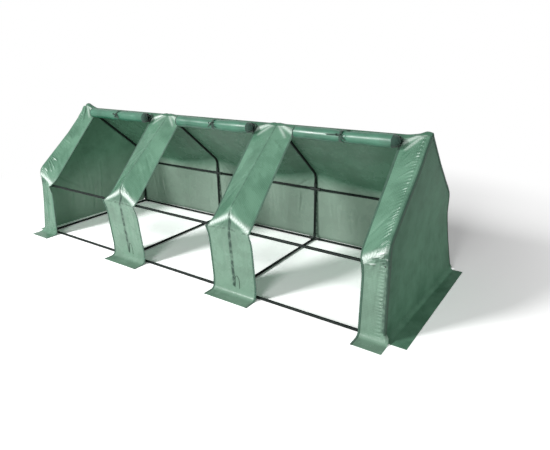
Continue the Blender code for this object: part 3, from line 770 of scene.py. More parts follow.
for bay_start, bay_end in zip(HOOPS, HOOPS[1:]):
    ripple += random_folds(u, v, dice, 22, (bay_start + 0.04, bay_end - 0.04), (MID_V + 0.005, MID_V + 0.12),
                           aside=(-0.05, 0.05), down=(0.02, -0.16), foot=FOOT_V,
                           width=(0.007, 0.016), height=(-0.006, 0.006))
    ripple += random_folds(u, v, dice, 22, (bay_start + 0.02, bay_end - 0.02), (MID_V + 0.02, MID_V + 0.20),
                           aside=(-0.02, 0.02), down=(0.06, 0.16),
                           width=(0.007, 0.010), height=(-0.004, 0.004))
    ripple += random_folds(u, v, dice, 9, (bay_start + 0.05, bay_end - 0.05), (0.10, MID_V - 0.05),
                           aside=(-0.25, 0.25), down=(0.10, 0.26),
                           width=(0.010, 0.030), height=(-0.003, 0.003))
    for hoop_x, lean in ((bay_start, 1), (bay_end, -1)):
        for reach in (0.08, 0.13, 0.19):
            top = (hoop_x + lean * 0.008, MID_V - 0.10 + dice.uniform(-0.03, 0.03))
            bottom = (hoop_x + lean * reach, MID_V + dice.uniform(-0.02, 0.07))
            ripple += fold(u, v, top, bottom, 0.007, 0.0035)
mitre = ramp(np.abs(u), END_PLANE - 0.14, END_PLANE - 0.01) * np.maximum(v - FOOT_V - 0.015, 0) * 1.1
main_points[..., 0] -= np.sign(u) * mitre
ripple += ramp(v, FOOT_V + 0.05, FOOT_V + 0.09) * 0.0022 * (1 + np.sin(u * 21.0) * np.sin(u * 9.0 + 1.0))
ripple += np.where(v < 0, shoulder_folds(u, -v), 0.6 * shoulder_folds(u, v))
ripple += seam_puckers(END_PLANE - np.abs(u), v, dice, 0.034, 0.0014)
main_points = main_points + normals(main_points) * ripple[..., None]
ends = []
for column, side in ((0, 1), (-1, -1)):
    edge = main_points[:, column]
    ends.append(turned_corner(edge, inward_of(edge, 1), side, corner_stretch(edge[:, 2])))
more_u = np.linspace(0, CORNER_U, ends[0].shape[1] + 1)[1:]
main_points = splayed(np.concatenate((ends[0][:, ::-1], main_points, ends[1]), axis=1))
main_u = np.concatenate((main_x[0] + more_u[::-1], main_x, main_x[-1] - more_u))
main_place = np.stack(np.meshgrid(main_u, main_v), axis=-1)
# Painted shade where the sheet turns round the corner tube.
corner_painted_shade = np.where(np.abs(main_u) > END_PLANE - CORNER_RADIUS + 0.004, -0.7, 0.0)
main_painted_light = np.broadcast_to(corner_painted_shade, main_place.shape[:2])

# Painted light on the main sheet: darker roof colours for shade, tube shadows, and a paler back wall for
# floor light.
roof_film = film_finish("cover_film_roof", rails=(0.0, MID_V), tube_shadow_strength=0.80, foot=FOOT_V,
                        floor_light_from=MID_V - 0.12, floor_light=0.52, colours=(ROOF_PAINTED_SHADE_DEEP, ROOF_PAINTED_SHADE_PALE))
main_mesh = film_mesh("cover_main_film", main_points, main_place, [roof_film], main_painted_light)
main_film = piece("cover_main_film", main_mesh, roof_film, stands_for=["cover_main"])

# Front strips: in front of each middle hoop a strip of film hangs from the header, tented over the tube.
# Its long edges carry the zips. The two half strips at the ends are sewn round the corners to the gables.
STRIP_HALF = 0.135
STRIP_FOOT_SHARE = 1.10
UNDER_HEADER = 2
STRIP_FINER = 3
KNEE_BULGE = 0.016
EDGE_PULL = 0.024
STRIP_SHIFT = {1: (-0.022, 0.030), 2: (-0.010, 0.024)}
CREASE_TOP, CREASE_END = 0.456, 0.382
CREASE_HALF = 0.014
CREASE_UP = 0.0035

# Painted light on the strips: tube shadows, and a paler lower part for floor light.
strip_film = film_finish("cover_film_strips", rails=(9.0, MID_V), tube_shadow_strength=0.90, foot=FOOT_V - 0.02,
                         floor_light_from=MID_V - 0.12, floor_light=0.22)


def strip_grid(x, hoop_x, draws, shift):
    """A strip's points, their places on the flat sheet and their painted highlights and shade, for columns at
    x.
    """
    run = finer(HOOP_RUN[HEADER_ROW - UNDER_HEADER:], STRIP_FINER)
    points = finer(film_grid(x, front_share(x))[HEADER_ROW - UNDER_HEADER:], STRIP_FINER)
    points[..., 1] *= -1
    points = softened(points, run, 0.011)
    u, v = np.meshgrid(x, run)
    beside = np.abs(u - hoop_x) / STRIP_HALF
    ripple = np.zeros(u.shape)
    for _ in range(12):
        lean = draws.choice((-1, 1))
        top = (hoop_x + lean * draws.uniform(0.0, 0.03), draws.uniform(0.08, MID_V - 0.14))
        bottom = (hoop_x + lean * STRIP_HALF, top[1] + draws.uniform(0.03, 0.10))
        ripple += fold(u, v, top, bottom, draws.uniform(0.007, 0.015), draws.uniform(-0.0016, 0.0016))
    for lean in (-1, 1):
        for reach, drop in ((0.75, 0.05), (0.5, 0.09)):
            top = (hoop_x + lean * 0.004, MID_V - 0.115)
            bottom = (hoop_x + lean * STRIP_HALF * reach, MID_V - 0.005 + drop)
            ripple += fold(u, v, top, bottom, 0.007, 0.0038 - 0.02 * drop)
        ripple += random_folds(u, v, draws, 5, (hoop_x + lean * 0.02, hoop_x + lean * 0.12),
                               (MID_V, MID_V + 0.06), aside=(-0.03, 0.03), down=(0.0, -0.12), foot=FOOT_V,
                               width=(0.005, 0.012), height=(-0.0035, 0.0035))
        ripple += random_folds(u, v, draws, 7, (hoop_x + lean * 0.01, hoop_x + lean * 0.07),
                               (MID_V, MID_V - 0.13), aside=(lean * 0.02, lean * 0.06), down=(0.0, 0.03),
                               width=(0.003, 0.006), height=(-0.0018, 0.0018))
    ripple += KNEE_BULGE * beside ** 2 * np.exp(-(((v - MID_V) / 0.045) ** 2))
    z = points[..., 2]
    above = z - (CREASE_TOP - (CREASE_TOP - CREASE_END) * beside)
    # Painted light: a painted highlight along the knee crease and the shoulder folds, and painted shade below
    # the crease.
    hatch = 0.78 + 0.22 * np.sin(u * 430 + 2.0 * np.sin(v * 90 + draws.uniform(0, 6)))
    crease = np.exp(-((above / CREASE_HALF) ** 2)) * ramp(beside, -0.03, 0.07)
    shaded = ramp(above, -CREASE_HALF, -0.024) * ramp(z, MID_Z + 0.004, MID_Z + 0.016)
    ripple += CREASE_UP * crease
    drawn = shoulder_folds(u, v)
    painted_light = 1.3 * crease * hatch - 0.35 * shaded + np.clip(drawn / 0.008, 0, 0.6)
    ripple *= ramp(v, HEADER_V, HEADER_V + 0.03) * ramp(v, END_V - 0.03, END_V - 0.07)
    ripple += drawn - LAP * ramp(v, run[0] + 0.02, run[0])
    points = points + normals(points) * ripple[..., None]
    z = points[..., 2]
    lower = ramp(z, MID_Z, MID_Z - 0.30)
    aside = (u - hoop_x) * (STRIP_FOOT_SHARE - 1) + shift[0] * (1 - lower) + shift[1] * lower
    if abs(hoop_x) > BAY:
        aside = math.copysign(EDGE_PULL, hoop_x) * ramp(np.abs(u), END_PLANE, END_PLANE - STRIP_HALF)
    points[..., 0] += aside * ramp(z, MID_Z + 0.055, MID_Z - 0.005) ** 2
    return points, np.stack((u, v), axis=-1), painted_light


strips = {}
for number, hoop_x in enumerate(HOOPS[1:-1], start=1):
    across = np.linspace(hoop_x - STRIP_HALF, hoop_x + STRIP_HALF, 61)
    points, place, painted_light = strip_grid(across, hoop_x, random.Random(20 + number), STRIP_SHIFT[number])
    strips[f"cover_strip_{number}"] = points
    mesh = film_mesh(f"cover_strip_{number}_film", points, place, [strip_film], painted_light)
    name = f"cover_strip_{number}"
    made = piece(name + "_film", mesh, strip_film, stands_for=[name])

# Foot loops: inside each middle strip a cord loop ties the film to its foot.
# It lies close under the film.
LOOP_CORD = 0.0013
LOOP_FOOT = 0.045
LOOP_HEIGHT, LOOP_HALF = 0.070, 0.016
LOOP_ASIDE = 0.022
LOOP_UNDER = 0.0008

cord_black = coated("tie_tape_cord", (0.010, 0.026, 0.018), (0.030, 0.060, 0.045), wear=0.3, peel=1200.0,
                    depth=0.0001, metallic=0.0)
for number in range(1, 3):
    points = strips[f"cover_strip_{number}"]
    column = points[:, points.shape[1] // 2]
    path = []
    for turn in np.linspace(0, math.pi, 25):
        z = LOOP_FOOT + LOOP_HEIGHT * math.sin(turn) ** 0.6
        x, y, _ = column[int(np.argmin(np.abs(column[:, 2] - z)))]
        path.append((x + LOOP_ASIDE - LOOP_HALF * math.cos(turn), y - LOOP_UNDER, z))
    cord = smooth(round_bar(path, [LOOP_CORD] * len(path), ALONG_Y, 8), 60)
    piece(f"foot_loop_{number}_cord", cord, cord_black)

# Gables: an end panel of the same film on each side, with its flap on the ground.
# The main sheet and the half front strip turn round the corner and are stitched to it with a puckered seam.
GABLE_FLAP = 0.110
GABLE_COLUMNS = 111
GABLE_SLACK = {-1: 1.0, 1: 0.22}

for name, side, seed in (("cover_gable_left", -1, 31), ("cover_gable_right", 1, 32)):
    draws = random.Random(seed)
    # Painted light on the gables: the left one's lower part is paler for floor light.
    gable_film = film_finish(name.replace("cover_gable", "cover_film_gable"), floor_light_from=0.34, floor_light_run=0.30,
                             floor_light=0.52 if side < 0 else 0.0, gloss=0.03, crinkle=0.2, rougher=0.15)
    line = hoop_line(FILM_OFFSET - CORNER_RADIUS, GABLE_FLAP)[1:]
    spread = np.linspace(-side, side, GABLE_COLUMNS)
    foot_row = MID_ROW + WALL_STEPS - 1
    wide = np.minimum(line[:, 0], line[foot_row, 0])
    shift = np.maximum(line[:, 0] - line[foot_row, 0], 0)
    end_x = np.full(len(line), side * END_PLANE)
    y = wide[:, None] * spread[None, :]
    z = lifted(end_x[:, None], np.abs(y), np.broadcast_to(line[:, 1:], y.shape))
    lift_edge = lifted(end_x, line[:, 0], line[:, 1]) - line[:, 1]
    z = np.minimum(z, (line[:, 1] + lift_edge)[:, None])
    points = np.stack((np.broadcast_to((end_x + side * shift)[:, None], y.shape), y, z), axis=-1)
    u, v = y.copy(), np.broadcast_to((RIDGE_Z - line[:, 1] + shift)[:, None], y.shape)
    ripple = -0.012 * np.exp(-(((u) / 0.30) ** 2 + ((v - 0.50) / 0.25) ** 2))
    ripple += random_folds(u, v, draws, 14, (-0.40, 0.40), (0.25, 0.60),
                           aside=(-0.08, 0.08), down=(0.0, -0.12), foot=0.84,
                           width=(0.008, 0.020), height=(-0.005, 0.005))
    for lean in (-1, 1):
        for reach in (0.10, 0.20, 0.30):
            top = (lean * 0.44, 0.36 + draws.uniform(-0.02, 0.05))
            bottom = (lean * (0.44 - reach), 0.52 + draws.uniform(-0.05, 0.15))
            ripple += fold(u, v, top, bottom, 0.010, 0.0045)
    to_edge = ramp(np.abs(y), wide[:, None], wide[:, None] - 0.04)
    ripple *= GABLE_SLACK[side] * to_edge * ramp(v, 0.86, 0.81)
    points = splayed(points + normals(points) * ripple[..., None])
    mesh = film_mesh(name + "_film", points, np.stack((u, v), axis=-1), [gable_film])
    made = piece(name + "_film", mesh, gable_film, stands_for=[name])

    hoop_x = side * HALF_LENGTH
    across = np.linspace(hoop_x - side * STRIP_HALF, side * (END_PLANE - CORNER_RADIUS), 46)
    points, place, painted_light = strip_grid(across[::side], hoop_x, random.Random(seed + 5), (0, 0))
    u, v = place[..., 0], place[..., 1]
    puckers = seam_puckers(END_PLANE - np.abs(u), v, draws, 0.0175, 0.0014 if side < 0 else 0.0028)
    for _ in range(8):
        bottom = (hoop_x - side * draws.uniform(-0.01, 0.13), draws.uniform(0.05, 0.17))
        puckers += fold(u, v, (side * (END_PLANE - 0.008), 0.0), bottom, draws.uniform(0.004, 0.007), 0.0045)
    for _ in range(7):
        top = (side * (END_PLANE - SEAM_IN), draws.uniform(0.10, MID_V - 0.08))
        bottom = (top[0] - side * draws.uniform(0.03, 0.08), top[1] + draws.uniform(-0.035, 0.035))
        puckers += fold(u, v, top, bottom, draws.uniform(0.004, 0.008), draws.uniform(0.002, 0.004))
    at_knee = random_folds(u, v, draws, 16, (hoop_x, hoop_x - side * 0.12), (MID_V - 0.01, MID_V - 0.09),
                           aside=(side * 0.05, -side * 0.05), down=(0.0, 0.02),
                           width=(0.003, 0.006), height=(-0.003, 0.004))
    puckers = (puckers + at_knee) * ramp(v, HEADER_V, HEADER_V + 0.01)
    # Painted highlight on the knee folds' crests and painted shade in their hollows.
    painted_light = painted_light + np.clip(at_knee / 0.003, -0.6, 1.0)
    points = points + normals(points) * puckers[..., None]
    edge = points[:, -1] if side > 0 else points[:, 0]
    turned = turned_corner(edge, inward_of(edge, -1), side, corner_stretch(edge[:, 2]))
    turned_place = np.stack(np.meshgrid(across[-1] + side * more_u, place[:, 0, 1]), axis=-1)
    # Painted shade on the turned corner, above the slit foot.
    turned_painted_shade = np.where(turned_place[..., 1] < FOOT_V - 0.01, -0.7, 0.0)
    pairs = ((points, turned), (place, turned_place), (painted_light, turned_painted_shade))
    if side > 0:
        points, place, painted_light = (np.concatenate((flat, corner), axis=1) for flat, corner in pairs)
    else:
        points, place, painted_light = (np.concatenate((corner[:, ::-1], flat), axis=1) for flat, corner in pairs)
    points = splayed(points)
    half_name = name.replace("cover_gable", "cover_half_strip")
    # Painted light on the half strips: tube shadows on the right one, and a paler lower part for floor light.
    half_film = film_finish(half_name.replace("cover_", "cover_film_"), rails=(9.0, MID_V),
                            tube_shadow_strength=0.0 if side < 0 else 0.6, foot=FOOT_V - 0.02,
                            floor_light_from=MID_V - 0.12, floor_light=0.05 if side < 0 else 0.24)
    strips[half_name] = points
    mesh = film_mesh(half_name + "_film", points, place, [half_film], painted_light)
    made = piece(half_name + "_film", mesh, half_film, stands_for=[name])
    wide = STRIP_HALF + FILM_OFFSET - CORNER_RADIUS + CORNER_U

# Zip tapes: a dark woven tape is folded over each long edge of a strip that meets a door, and stitched down.
# Each of these tapes carries a coil zip.
TAPE_WIDTH = 0.010
TAPE_THICK = 0.0022
TAPE_GREEN = (0.030, 0.085, 0.055)
TAPE_FADED = (0.060, 0.130, 0.090)
TOOTH_PITCH = 0.0030
TOOTH_RAISED = 0.0004
TOOTH_HALF = 0.0008
TOOTH_THICK = 0.0022
TAPE_FIRST = UNDER_HEADER * STRIP_FINER + 1
ZIP_ROWS = (MID_ROW + WALL_STEPS - HEADER_ROW + UNDER_HEADER) * STRIP_FINER - TAPE_FIRST


def woven_tape():
    """Webbing: a fine twill of raised threads, and a slightly faded, dusty face."""
    tree, given, sent = new_effect(
        "woven_tape",
        [("Pitch", "NodeSocketFloat", 0.0016)],
        [("Fade", "NodeSocketFloat"), ("Height", "NodeSocketFloat"), ("Roughness", "NodeSocketFloat")],
    )
    place = node(tree, "ShaderNodeTexCoord").outputs["Object"]
    parts = node(tree, "ShaderNodeSeparateXYZ", {0: place})
    slant = maths(tree, "ADD", maths(tree, "ADD", parts.outputs[0], parts.outputs[1]), parts.outputs[2])
    twill = maths(tree, "PINGPONG", maths(tree, "DIVIDE", slant, given.outputs["Pitch"]), 0.5)
    cloud = noise(tree, place, 30.0, 4.0)
    feed(tree, sent, {
        "Fade": ranged(tree, cloud, 0.35, 0.70),
        "Height": maths(tree, "MULTIPLY", twill, 2.0),
        "Roughness": ranged(tree, cloud, 0.3, 0.7, 0.75, 0.92),
    })
    return tree


WOVEN_TAPE = woven_tape()


def tape_finish(name, colour, faded):
    """The material of a woven tape in one colour and its faded shade."""
    made, tree, shader = plain_finish(name)
    weave = node(tree, "ShaderNodeGroup", node_tree=WOVEN_TAPE)
    feed(tree, shader, {
        "Base Color": blended(tree, weave.outputs["Fade"], colour, faded),
        "Roughness": weave.outputs["Roughness"],
        "Normal": bumped(tree, weave.outputs["Height"], 0.6, 0.0003),
        "Sheen Weight": 0.2,
    })
    return made


zip_tape = tape_finish("tie_tape_zip", TAPE_GREEN, TAPE_FADED)


def inward_along(edge, next_in):
    """The direction into a sheet from each point of its edge."""
    inward = next_in - edge
    return inward / np.maximum(np.linalg.norm(inward, axis=1, keepdims=True), 1e-9)


def edge_tape(bm, edge, next_in, out, width=TAPE_WIDTH, thick=TAPE_THICK):
    """Add a folded tape over an edge. next_in is the column beside the edge, out the normals there."""
    half = thick / 2
    section = ((-0.0010, -half * 0.6), (-0.0014, 0), (-0.0010, half * 0.6), (0.0006, half),
               (width - 0.0008, half), (width, half * 0.4), (width, -half * 0.4), (width - 0.0008, -half),
               (0.0006, -half))
    rings = []
    for point, along, square in zip(edge, inward_along(edge, next_in), out):
        rings.append([tuple(point + along * a + square * b) for a, b in section])
    skin(bm, rings)


def zip_teeth(bm, edge, next_in, out):
    """Add a row of coil teeth along an edge, each a small rounded bar across the edge."""
    run = run_along(edge)
    inward = inward_along(edge, next_in)
    for mark in np.arange(TOOTH_PITCH, run[-1] - TOOTH_PITCH, TOOTH_PITCH):
        row = int(np.searchsorted(run, mark)) - 1
        share = (mark - run[row]) / max(run[row + 1] - run[row], 1e-9)
        point = edge[row] + (edge[row + 1] - edge[row]) * share
        along = edge[row + 1] - edge[row]
        along = along / max(np.linalg.norm(along), 1e-9)
        rings = []
        for a, size in ((-0.0030, 0.55), (-0.0024, 1.0), (0.0006, 0.8)):
            centre = point + inward[row] * a + out[row] * TOOTH_RAISED
            half_a, half_b = along * TOOTH_HALF * size, out[row] * TOOTH_THICK / 2 * size
            rings.append([tuple(centre + half_a + half_b), tuple(centre - half_a + half_b),
                          tuple(centre - half_a - half_b), tuple(centre + half_a - half_b)])
        skin(bm, rings)


for name, points in strips.items():
    out = normals(points)
    for label, edge_column, next_column in (("left", 0, 1), ("right", -1, -2)):
        if name == f"cover_half_strip_{label}":
            continue
        edge, next_in = points[TAPE_FIRST:, edge_column], points[TAPE_FIRST:, next_column]
        square = out[TAPE_FIRST:, edge_column]
        bm = bmesh.new()
        edge_tape(bm, edge, next_in, square)
        piece(f"{name}_tape_{label}", smooth(finished(bm, "zip_tape"), 50), zip_tape)
        bm = bmesh.new()
        zip_teeth(bm, edge[:ZIP_ROWS], next_in[:ZIP_ROWS], square[:ZIP_ROWS])
        piece(f"{name}_zip_{label}", finished(bm, "zip_teeth"), zip_tape)

# Rolled doors: each bay's front panel is rolled up from its foot, outside the film, below the header.
# The film is the same; zip tape runs down both its edges, so the ends of the roll show as a dark spiral.
ROLL_RADIUS = 0.034
ROLL_CORE = 0.013
ROLL_TURNS = 7
ROLL_STEPS = 44
ROLL_COLUMNS = 81
ROLL_RUN = 0.062
ROLL_OUT = FILM_OFFSET + 0.002 + ROLL_RADIUS
ROLL_FIRST = CHORD - math.pi / 2
ROLL_ROUND = 0.05
ROLL_PINCH = 0.0050
ROLL_SAG = 0.0020
ROLL_THINNER = 0.10
ROLL_END_GAP = 0.008
ROLL_LEFT = 0.014
ROLL_TELESCOPE = 0.032
ROLL_DARK = 3
CURTAIN_ROWS = 20
CURTAIN_LAP = 0.006
CURTAIN_FREE = 0.002
DOOR_DROP = 0.50
DOOR_HALF = BAY / 2 - STRIP_HALF - ROLL_END_GAP
TIE_AT = (0.02, 0.03, 0.01)

roll_film = film_finish("cover_film_rolls", gloss=1.0, crinkle=0.15, rougher=0.12,
                        colours=(FILM_ROLLED, FILM_ROLLED_PALE))
roll_tape = tape_finish("tie_tape_roll_edge", (0.008, 0.034, 0.022), (0.020, 0.060, 0.042))


def on_slope(out, run):
    """A place on the front slope as (y, z): out square from the ridge-to-mid-rail line, run down along it."""
    return -out * math.sin(CHORD) - run * math.cos(CHORD), out * math.cos(CHORD) - run * math.sin(CHORD)


ROLL_Y, ROLL_Z = on_slope(ROLL_OUT, ROLL_RUN)
ROLL_Z += RIDGE_Z
ROLL_CENTRES = [np.array(((left + right) / 2, ROLL_Y, ROLL_Z)) for left, right in zip(HOOPS, HOOPS[1:])]


def roll_points(x, tie_x, draws):
    """The rolled film round the roll's own middle: rows along the spiral, columns along x."""
    steps = np.arange(ROLL_TURNS * ROLL_STEPS + 1)
    angle = ROLL_FIRST - 2 * math.pi * steps / ROLL_STEPS
    radius = ROLL_RADIUS - (ROLL_RADIUS - ROLL_CORE) * steps / steps[-1]
    outer = ramp(steps, 2 * ROLL_STEPS, 0)[:, None]
    depth = steps[:, None] / steps[-1]
    pinch = ROLL_PINCH * np.exp(-(((x - tie_x) / 0.035) ** 2))
    swell = 0.0012 * np.sin(x * 17 + draws.uniform(0, 6)) + 0.0008 * np.sin(x * 41 + draws.uniform(0, 6))
    full = radius[:, None] + (swell - pinch) * (1 - 0.6 * depth)
    full += 0.0005 * np.cos(3 * angle + draws.uniform(0, 6))[:, None] * outer
    u, v = np.meshgrid(x, -angle * ROLL_ROUND)
    creases = random_folds(u, v, draws, 14, (-DOOR_HALF, DOOR_HALF), (0, 2 * math.pi * ROLL_ROUND),
                           aside=(-0.16, 0.16), down=(-0.5 * ROLL_ROUND, 0.5 * ROLL_ROUND),
                           width=(0.004, 0.010), height=(-0.0014, 0.0010))
    for _ in range(8):
        lean = draws.choice((-1, 1))
        start = (tie_x + lean * 0.012, draws.uniform(0, 2 * math.pi) * ROLL_ROUND)
        end = (tie_x + lean * draws.uniform(0.05, 0.12), start[1] + draws.uniform(-0.3, 0.3) * ROLL_ROUND)
        creases += fold(u, v, start, end, 0.004, -0.0016)
    full += creases * outer
    thinner = 1 - ROLL_THINNER * ramp(x / DOOR_HALF, 0.94, 0.99)
    y = full * np.cos(angle)[:, None] * thinner
    z = (full * np.sin(angle)[:, None] - ROLL_SAG * (1 - (x / DOOR_HALF) ** 2)) * thinner
    telescope = ROLL_TELESCOPE * depth ** 0.5 * (0.9 + 0.1 * np.sin(steps * 0.9)[:, None])
    return np.stack((x + telescope + ROLL_LEFT * (1 - x / DOOR_HALF) / 2, y, z), axis=-1)


DOOR_X = np.linspace(-DOOR_HALF, DOOR_HALF, ROLL_COLUMNS)
DARK_COLUMNS = np.zeros(ROLL_COLUMNS - 1, int)
DARK_COLUMNS[:1] = DARK_COLUMNS[-ROLL_DARK:] = 1


def door_film(name, points, down):
    """A stretch of a door with its dark edges. down is how far along the flat sheet each row lies."""
    place = np.stack(np.meshgrid(DOOR_X, down), axis=-1)
    mesh = film_mesh(name, points, place, [roll_film, roll_tape])
    mesh.polygons.foreach_set("material_index", np.tile(DARK_COLUMNS, len(down) - 1))
    return mesh


def behind_roll(centre, run):
    """The point where the door's film lies behind its roll, run down the slope from the roll's middle."""
    return tuple(centre + (0, *on_slope(-ROLL_RADIUS, run)))


for number, centre in enumerate(ROLL_CENTRES, start=1):
    shape = roll_points(DOOR_X, TIE_AT[number - 1], random.Random(50 + number))
    length = run_along(shape[:, 0, 1:])
    name, body = f"door_roll_{number}", f"door_{number}"
    mesh = door_film("door_roll", shape + centre, -length)
    roll = piece(name + "_film", mesh, roll_film, body, [name])

    foot = shape[0] + centre
    head = foot.copy()
    head[:, 1:] = behind_roll(centre, HEADER - CURTAIN_LAP - ROLL_RUN)[1:]
    points = head + (foot - head) * np.linspace(0, 1, CURTAIN_ROWS)[:, None, None]
    down = np.linspace(ROLL_RUN - HEADER + CURTAIN_LAP + DOOR_DROP, 0, CURTAIN_ROWS)
    curtain = in_scene(f"door_curtain_{number}_film", door_film("door_curtain", points, down))
    behind_roll(centre, HEADER + CURTAIN_FREE - ROLL_RUN)
    behind_roll(centre, 0)
    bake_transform(curtain)

# Door ties: one webbing tie round each roll, sewn to the header and drawn in to a bow on the roll's front.
# It is woven tape; the bow is two loops and two loose ends that come out of a short wrap.
TIE_WIDTH = 0.020
TIE_DRAWN = 0.011
TIE_SPREAD = 1.3
TIE_THICK = 0.0015
TIE_RADIUS = ROLL_RADIUS - ROLL_PINCH + 0.0016
TIE_SEWN = 0.003
BOW_TURN = math.radians(160)
BOW_TAPE = 0.008
BOW_THICK = 0.0010
BOW_LOOP, BOW_OPEN = 0.022, 0.0060
KNOT_RAISED = 0.0040
WRAP_RADIUS, WRAP_WIDTH = 0.0042, 0.0090
LONG_END = 0.085
BAND_SECTION = ((-1, -0.5), (-1, 0.5), (-0.9, 1), (0.9, 1), (1, 0.5), (1, -0.5), (0.9, -1), (-0.9, -1))

tie_webbing = tape_finish("tie_tape_webbing", (0.012, 0.036, 0.025), (0.040, 0.090, 0.065))


def flat_band(bm, path, widths, faces, thick=TIE_THICK):
    """Add a flat band of tape along a path. faces is the way that its flat side looks at each point."""
    path, faces = np.array(path), np.array(faces)
    along = np.gradient(path, axis=0)
    side = np.cross(along, faces)
    side /= np.linalg.norm(side, axis=1, keepdims=True)
    square = np.cross(side, along)
    square /= np.linalg.norm(square, axis=1, keepdims=True)
    rings = []
    for point, across, out, width in zip(path, side, square, widths):
        rings.append([tuple(point + across * a * width / 2 + out * b * thick / 2) for a, b in BAND_SECTION])
    skin(bm, rings)


def round_roll(turn, out):
    """A place on the roll's front, as (x, y, z) from the roll's middle."""
    return np.array((0, out * math.cos(turn), out * math.sin(turn)))


seam = np.array(on_slope(FILM_OFFSET + TIE_SEWN - ROLL_OUT, -ROLL_RUN))
first = math.atan2(seam[1], seam[0]) + math.acos(TIE_RADIUS / float(np.hypot(*seam)))
turns = np.linspace(first, ROLL_FIRST + 2 * math.pi, 49)
strap = np.array([(0, *seam)] + [tuple(round_roll(turn, TIE_RADIUS)) for turn in turns]
                 + [(0, *on_slope(-TIE_RADIUS, HEADER + TIE_SEWN - ROLL_RUN))])
strap_faces = [round_roll(turn, 1.0) for turn in (first, *turns, turns[-1])]
drawn_in = [TIE_DRAWN + (TIE_WIDTH - TIE_DRAWN) * min(1, abs(turn - BOW_TURN) / TIE_SPREAD) for turn in turns]
out, up = round_roll(BOW_TURN, 1.0), round_roll(BOW_TURN - math.pi / 2, 1.0)
along_x = np.array((1.0, 0, 0))
for number, roll_centre in enumerate(ROLL_CENTRES, start=1):
    centre = roll_centre + (TIE_AT[number - 1], 0, 0)
    bm = bmesh.new()
    flat_band(bm, strap + centre, [TIE_WIDTH, *drawn_in, TIE_WIDTH], strap_faces)

    draws = random.Random(70 + number)
    knot = centre + out * (TIE_RADIUS + KNOT_RAISED)
    round_knot = [math.cos(t) * out + math.sin(t) * up for t in np.linspace(0, 1.94 * math.pi, 17)]
    flat_band(bm, [knot + WRAP_RADIUS * way for way in round_knot], [WRAP_WIDTH] * 17, round_knot)
    for lean in (-1, 1):
        reach, droop = BOW_LOOP * draws.uniform(0.8, 1.15), draws.uniform(-0.3, 0.4)
        loop = []
        for t in np.linspace(0.02, 0.98, 17):
            far, wide = reach * math.sin(math.pi * t), BOW_OPEN * math.sin(2 * math.pi * t)
            lift = 0.0015 + 0.0040 * math.sin(math.pi * t)
            loop.append(knot + along_x * lean * far + up * (wide - droop * far) + out * lift)
        loop_faces = np.cross(out, np.gradient(np.array(loop), axis=0))
        flat_band(bm, loop, [BOW_TAPE] * 17, loop_faces, BOW_THICK)
        long_end = (number, lean) == (3, -1)
        length = LONG_END if long_end else draws.uniform(0.022, 0.034)
        fall = 0.12 if long_end else draws.uniform(0.7, 1.0)
        end, end_faces = [], []
        for t in np.linspace(0, 1, 13):
            at = round_roll(BOW_TURN + fall * t, TIE_RADIUS + 0.0050 - 0.0025 * t)
            end.append(centre + at + along_x * lean * length * t)
            end_faces.append(round_roll(BOW_TURN + fall * t, 1.0))
        flat_band(bm, end, [BOW_TAPE] * 13, end_faces, BOW_THICK)
    name, body = f"door_tie_{number}", f"door_{number}"
    piece(name + "_strap", smooth(finished(bm, "tie_strap"), 50), tie_webbing, body, [name])

# Zip sliders: a metal slider with a pull waits at the top of each open zip.
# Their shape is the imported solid's own; only a worn grey metal is laid on it here.
zip_metal = coated("zip_metal_slider", (0.10, 0.11, 0.11), (0.30, 0.31, 0.31), wear=0.8, peel=1500.0,
                   depth=0.0001, metallic=0.8)
for number in range(1, 4):
    for label in ("left", "right"):
        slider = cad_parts[f"zip_slider_{label}_{number}"]
        slider.data.materials.clear()
        slider.data.materials.append(zip_metal)

# Floor, light and camera: the floor and the world are white to the camera and grey to all other light.
# Three soft lamps light the film, and the camera stands at the place solved from the photograph.
FLOOR_REACH = 30
SHOWN_WHITE = 1.55
SHOWN_LIFT = 0.06
ALL_WHITE_FROM, ALL_WHITE_TO = 1.6, 3.4
WORLD_GREY = (0.14, 0.14, 0.14)
WHITE = (1, 1, 1)
CAMERA_PLACE = Vector((1.9648, -2.2863, 1.2683))
CAMERA_TURN, CAMERA_DROP, CAMERA_ROLL = math.radians(34.179), math.radians(20.250), math.radians(-0.673)
CAMERA_LENS = 30.81


def seen_by_camera(tree):
    """1 for rays that carry what the camera sees, also mirrored or through film, and 0 for other rays."""
    rays = node(tree, "ShaderNodeLightPath")
    seen = maths(tree, "MAXIMUM", rays.outputs["Is Camera Ray"], rays.outputs["Is Glossy Ray"])
    return maths(tree, "MAXIMUM", seen, rays.outputs["Is Transmission Ray"])


def soft_light(name, place, target, size, power):
    """A round lamp that looks at a point."""
    lamp = bpy.data.lights.new(name, "AREA")
    lamp.shape = "DISK"
    lamp.size = size
    lamp.energy = power
    made = in_scene(name, lamp)
    made.location = place
    made.rotation_euler = (Vector(target) - Vector(place)).to_track_quat("-Z", "Y").to_euler()


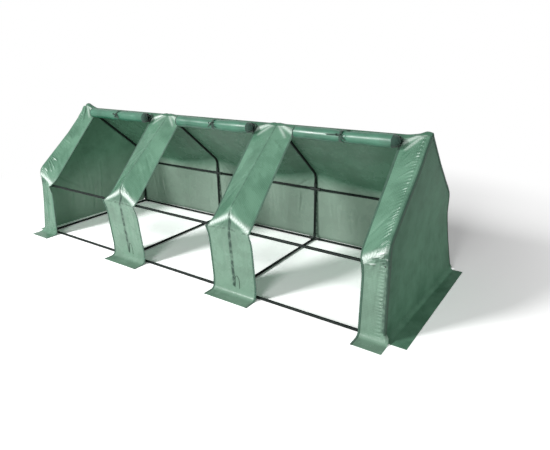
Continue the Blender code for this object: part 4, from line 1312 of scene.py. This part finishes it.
floor_mesh = bpy.data.meshes.new("floor")
floor_corners = [(x * FLOOR_REACH, y * FLOOR_REACH, 0) for x, y in ((-1, -1), (1, -1), (1, 1), (-1, 1))]
floor_mesh.from_pydata(floor_corners, [], [(0, 1, 2, 3)])
floor = in_scene("floor", floor_mesh)
floor_white, tree, shader = plain_finish("floor_white")
feed(tree, shader, {"Base Color": (0.46, 0.46, 0.46, 1), "Roughness": 0.9, "Specular IOR Level": 0.0})
lit = node(tree, "ShaderNodeBsdfDiffuse", {"Color": (SHOWN_WHITE, SHOWN_WHITE, SHOWN_WHITE, 1)})
lift = node(tree, "ShaderNodeEmission", {"Color": (*WHITE, 1), "Strength": SHOWN_LIFT})
shown = node(tree, "ShaderNodeAddShader", {0: lit.outputs[0], 1: lift.outputs[0]})
glow = node(tree, "ShaderNodeEmission", {"Color": (*WHITE, 1), "Strength": 1.0})
place = node(tree, "ShaderNodeTexCoord").outputs["Object"]
far = node(tree, "ShaderNodeVectorMath", {0: place}, operation="LENGTH").outputs["Value"]
share = ranged(tree, far, ALL_WHITE_FROM, ALL_WHITE_TO, curve="SMOOTHSTEP")
shown = node(tree, "ShaderNodeMixShader", {0: share, 1: shown.outputs[0], 2: glow.outputs[0]})
both = node(tree, "ShaderNodeMixShader", {0: seen_by_camera(tree), 1: shader.outputs[0], 2: shown.outputs[0]})
feed(tree, tree.nodes["Material Output"], {"Surface": both.outputs[0]})
floor_mesh.materials.append(floor_white)

world = bpy.context.scene.world or bpy.data.worlds.new("studio")
bpy.context.scene.world = world
world.use_nodes = True
tree = world.node_tree
feed(tree, tree.nodes["Background"], {"Color": blended(tree, seen_by_camera(tree), WORLD_GREY, WHITE)})

soft_light("key_light", (-2.3, -4.9, 3.7), (0, 0, 0.4), 1.4, 365)
soft_light("front_light", (1.4, -5.1, 1.6), (0, 0, 0.4), 1.6, 130)
soft_light("right_light", (4.4, 0.6, 1.4), (1.3, 0, 0.4), 1.0, 22)

level = Vector((math.cos(CAMERA_TURN), math.sin(CAMERA_TURN), 0))
outward = Vector((-math.sin(CAMERA_TURN), math.cos(CAMERA_TURN), 0))
ahead = outward * math.cos(CAMERA_DROP) - UP * math.sin(CAMERA_DROP)
upright = level.cross(ahead)
right = level * math.cos(CAMERA_ROLL) + upright * math.sin(CAMERA_ROLL)
top = upright * math.cos(CAMERA_ROLL) - level * math.sin(CAMERA_ROLL)
lens = bpy.data.cameras.new("camera")
lens.lens = CAMERA_LENS
lens.sensor_width = 36
camera = in_scene("camera", lens)
camera.matrix_world = Matrix.Translation(CAMERA_PLACE) @ Matrix((right, top, -ahead)).transposed().to_4x4()
bpy.context.scene.camera = camera
bpy.context.scene.view_settings.view_transform = "Standard"
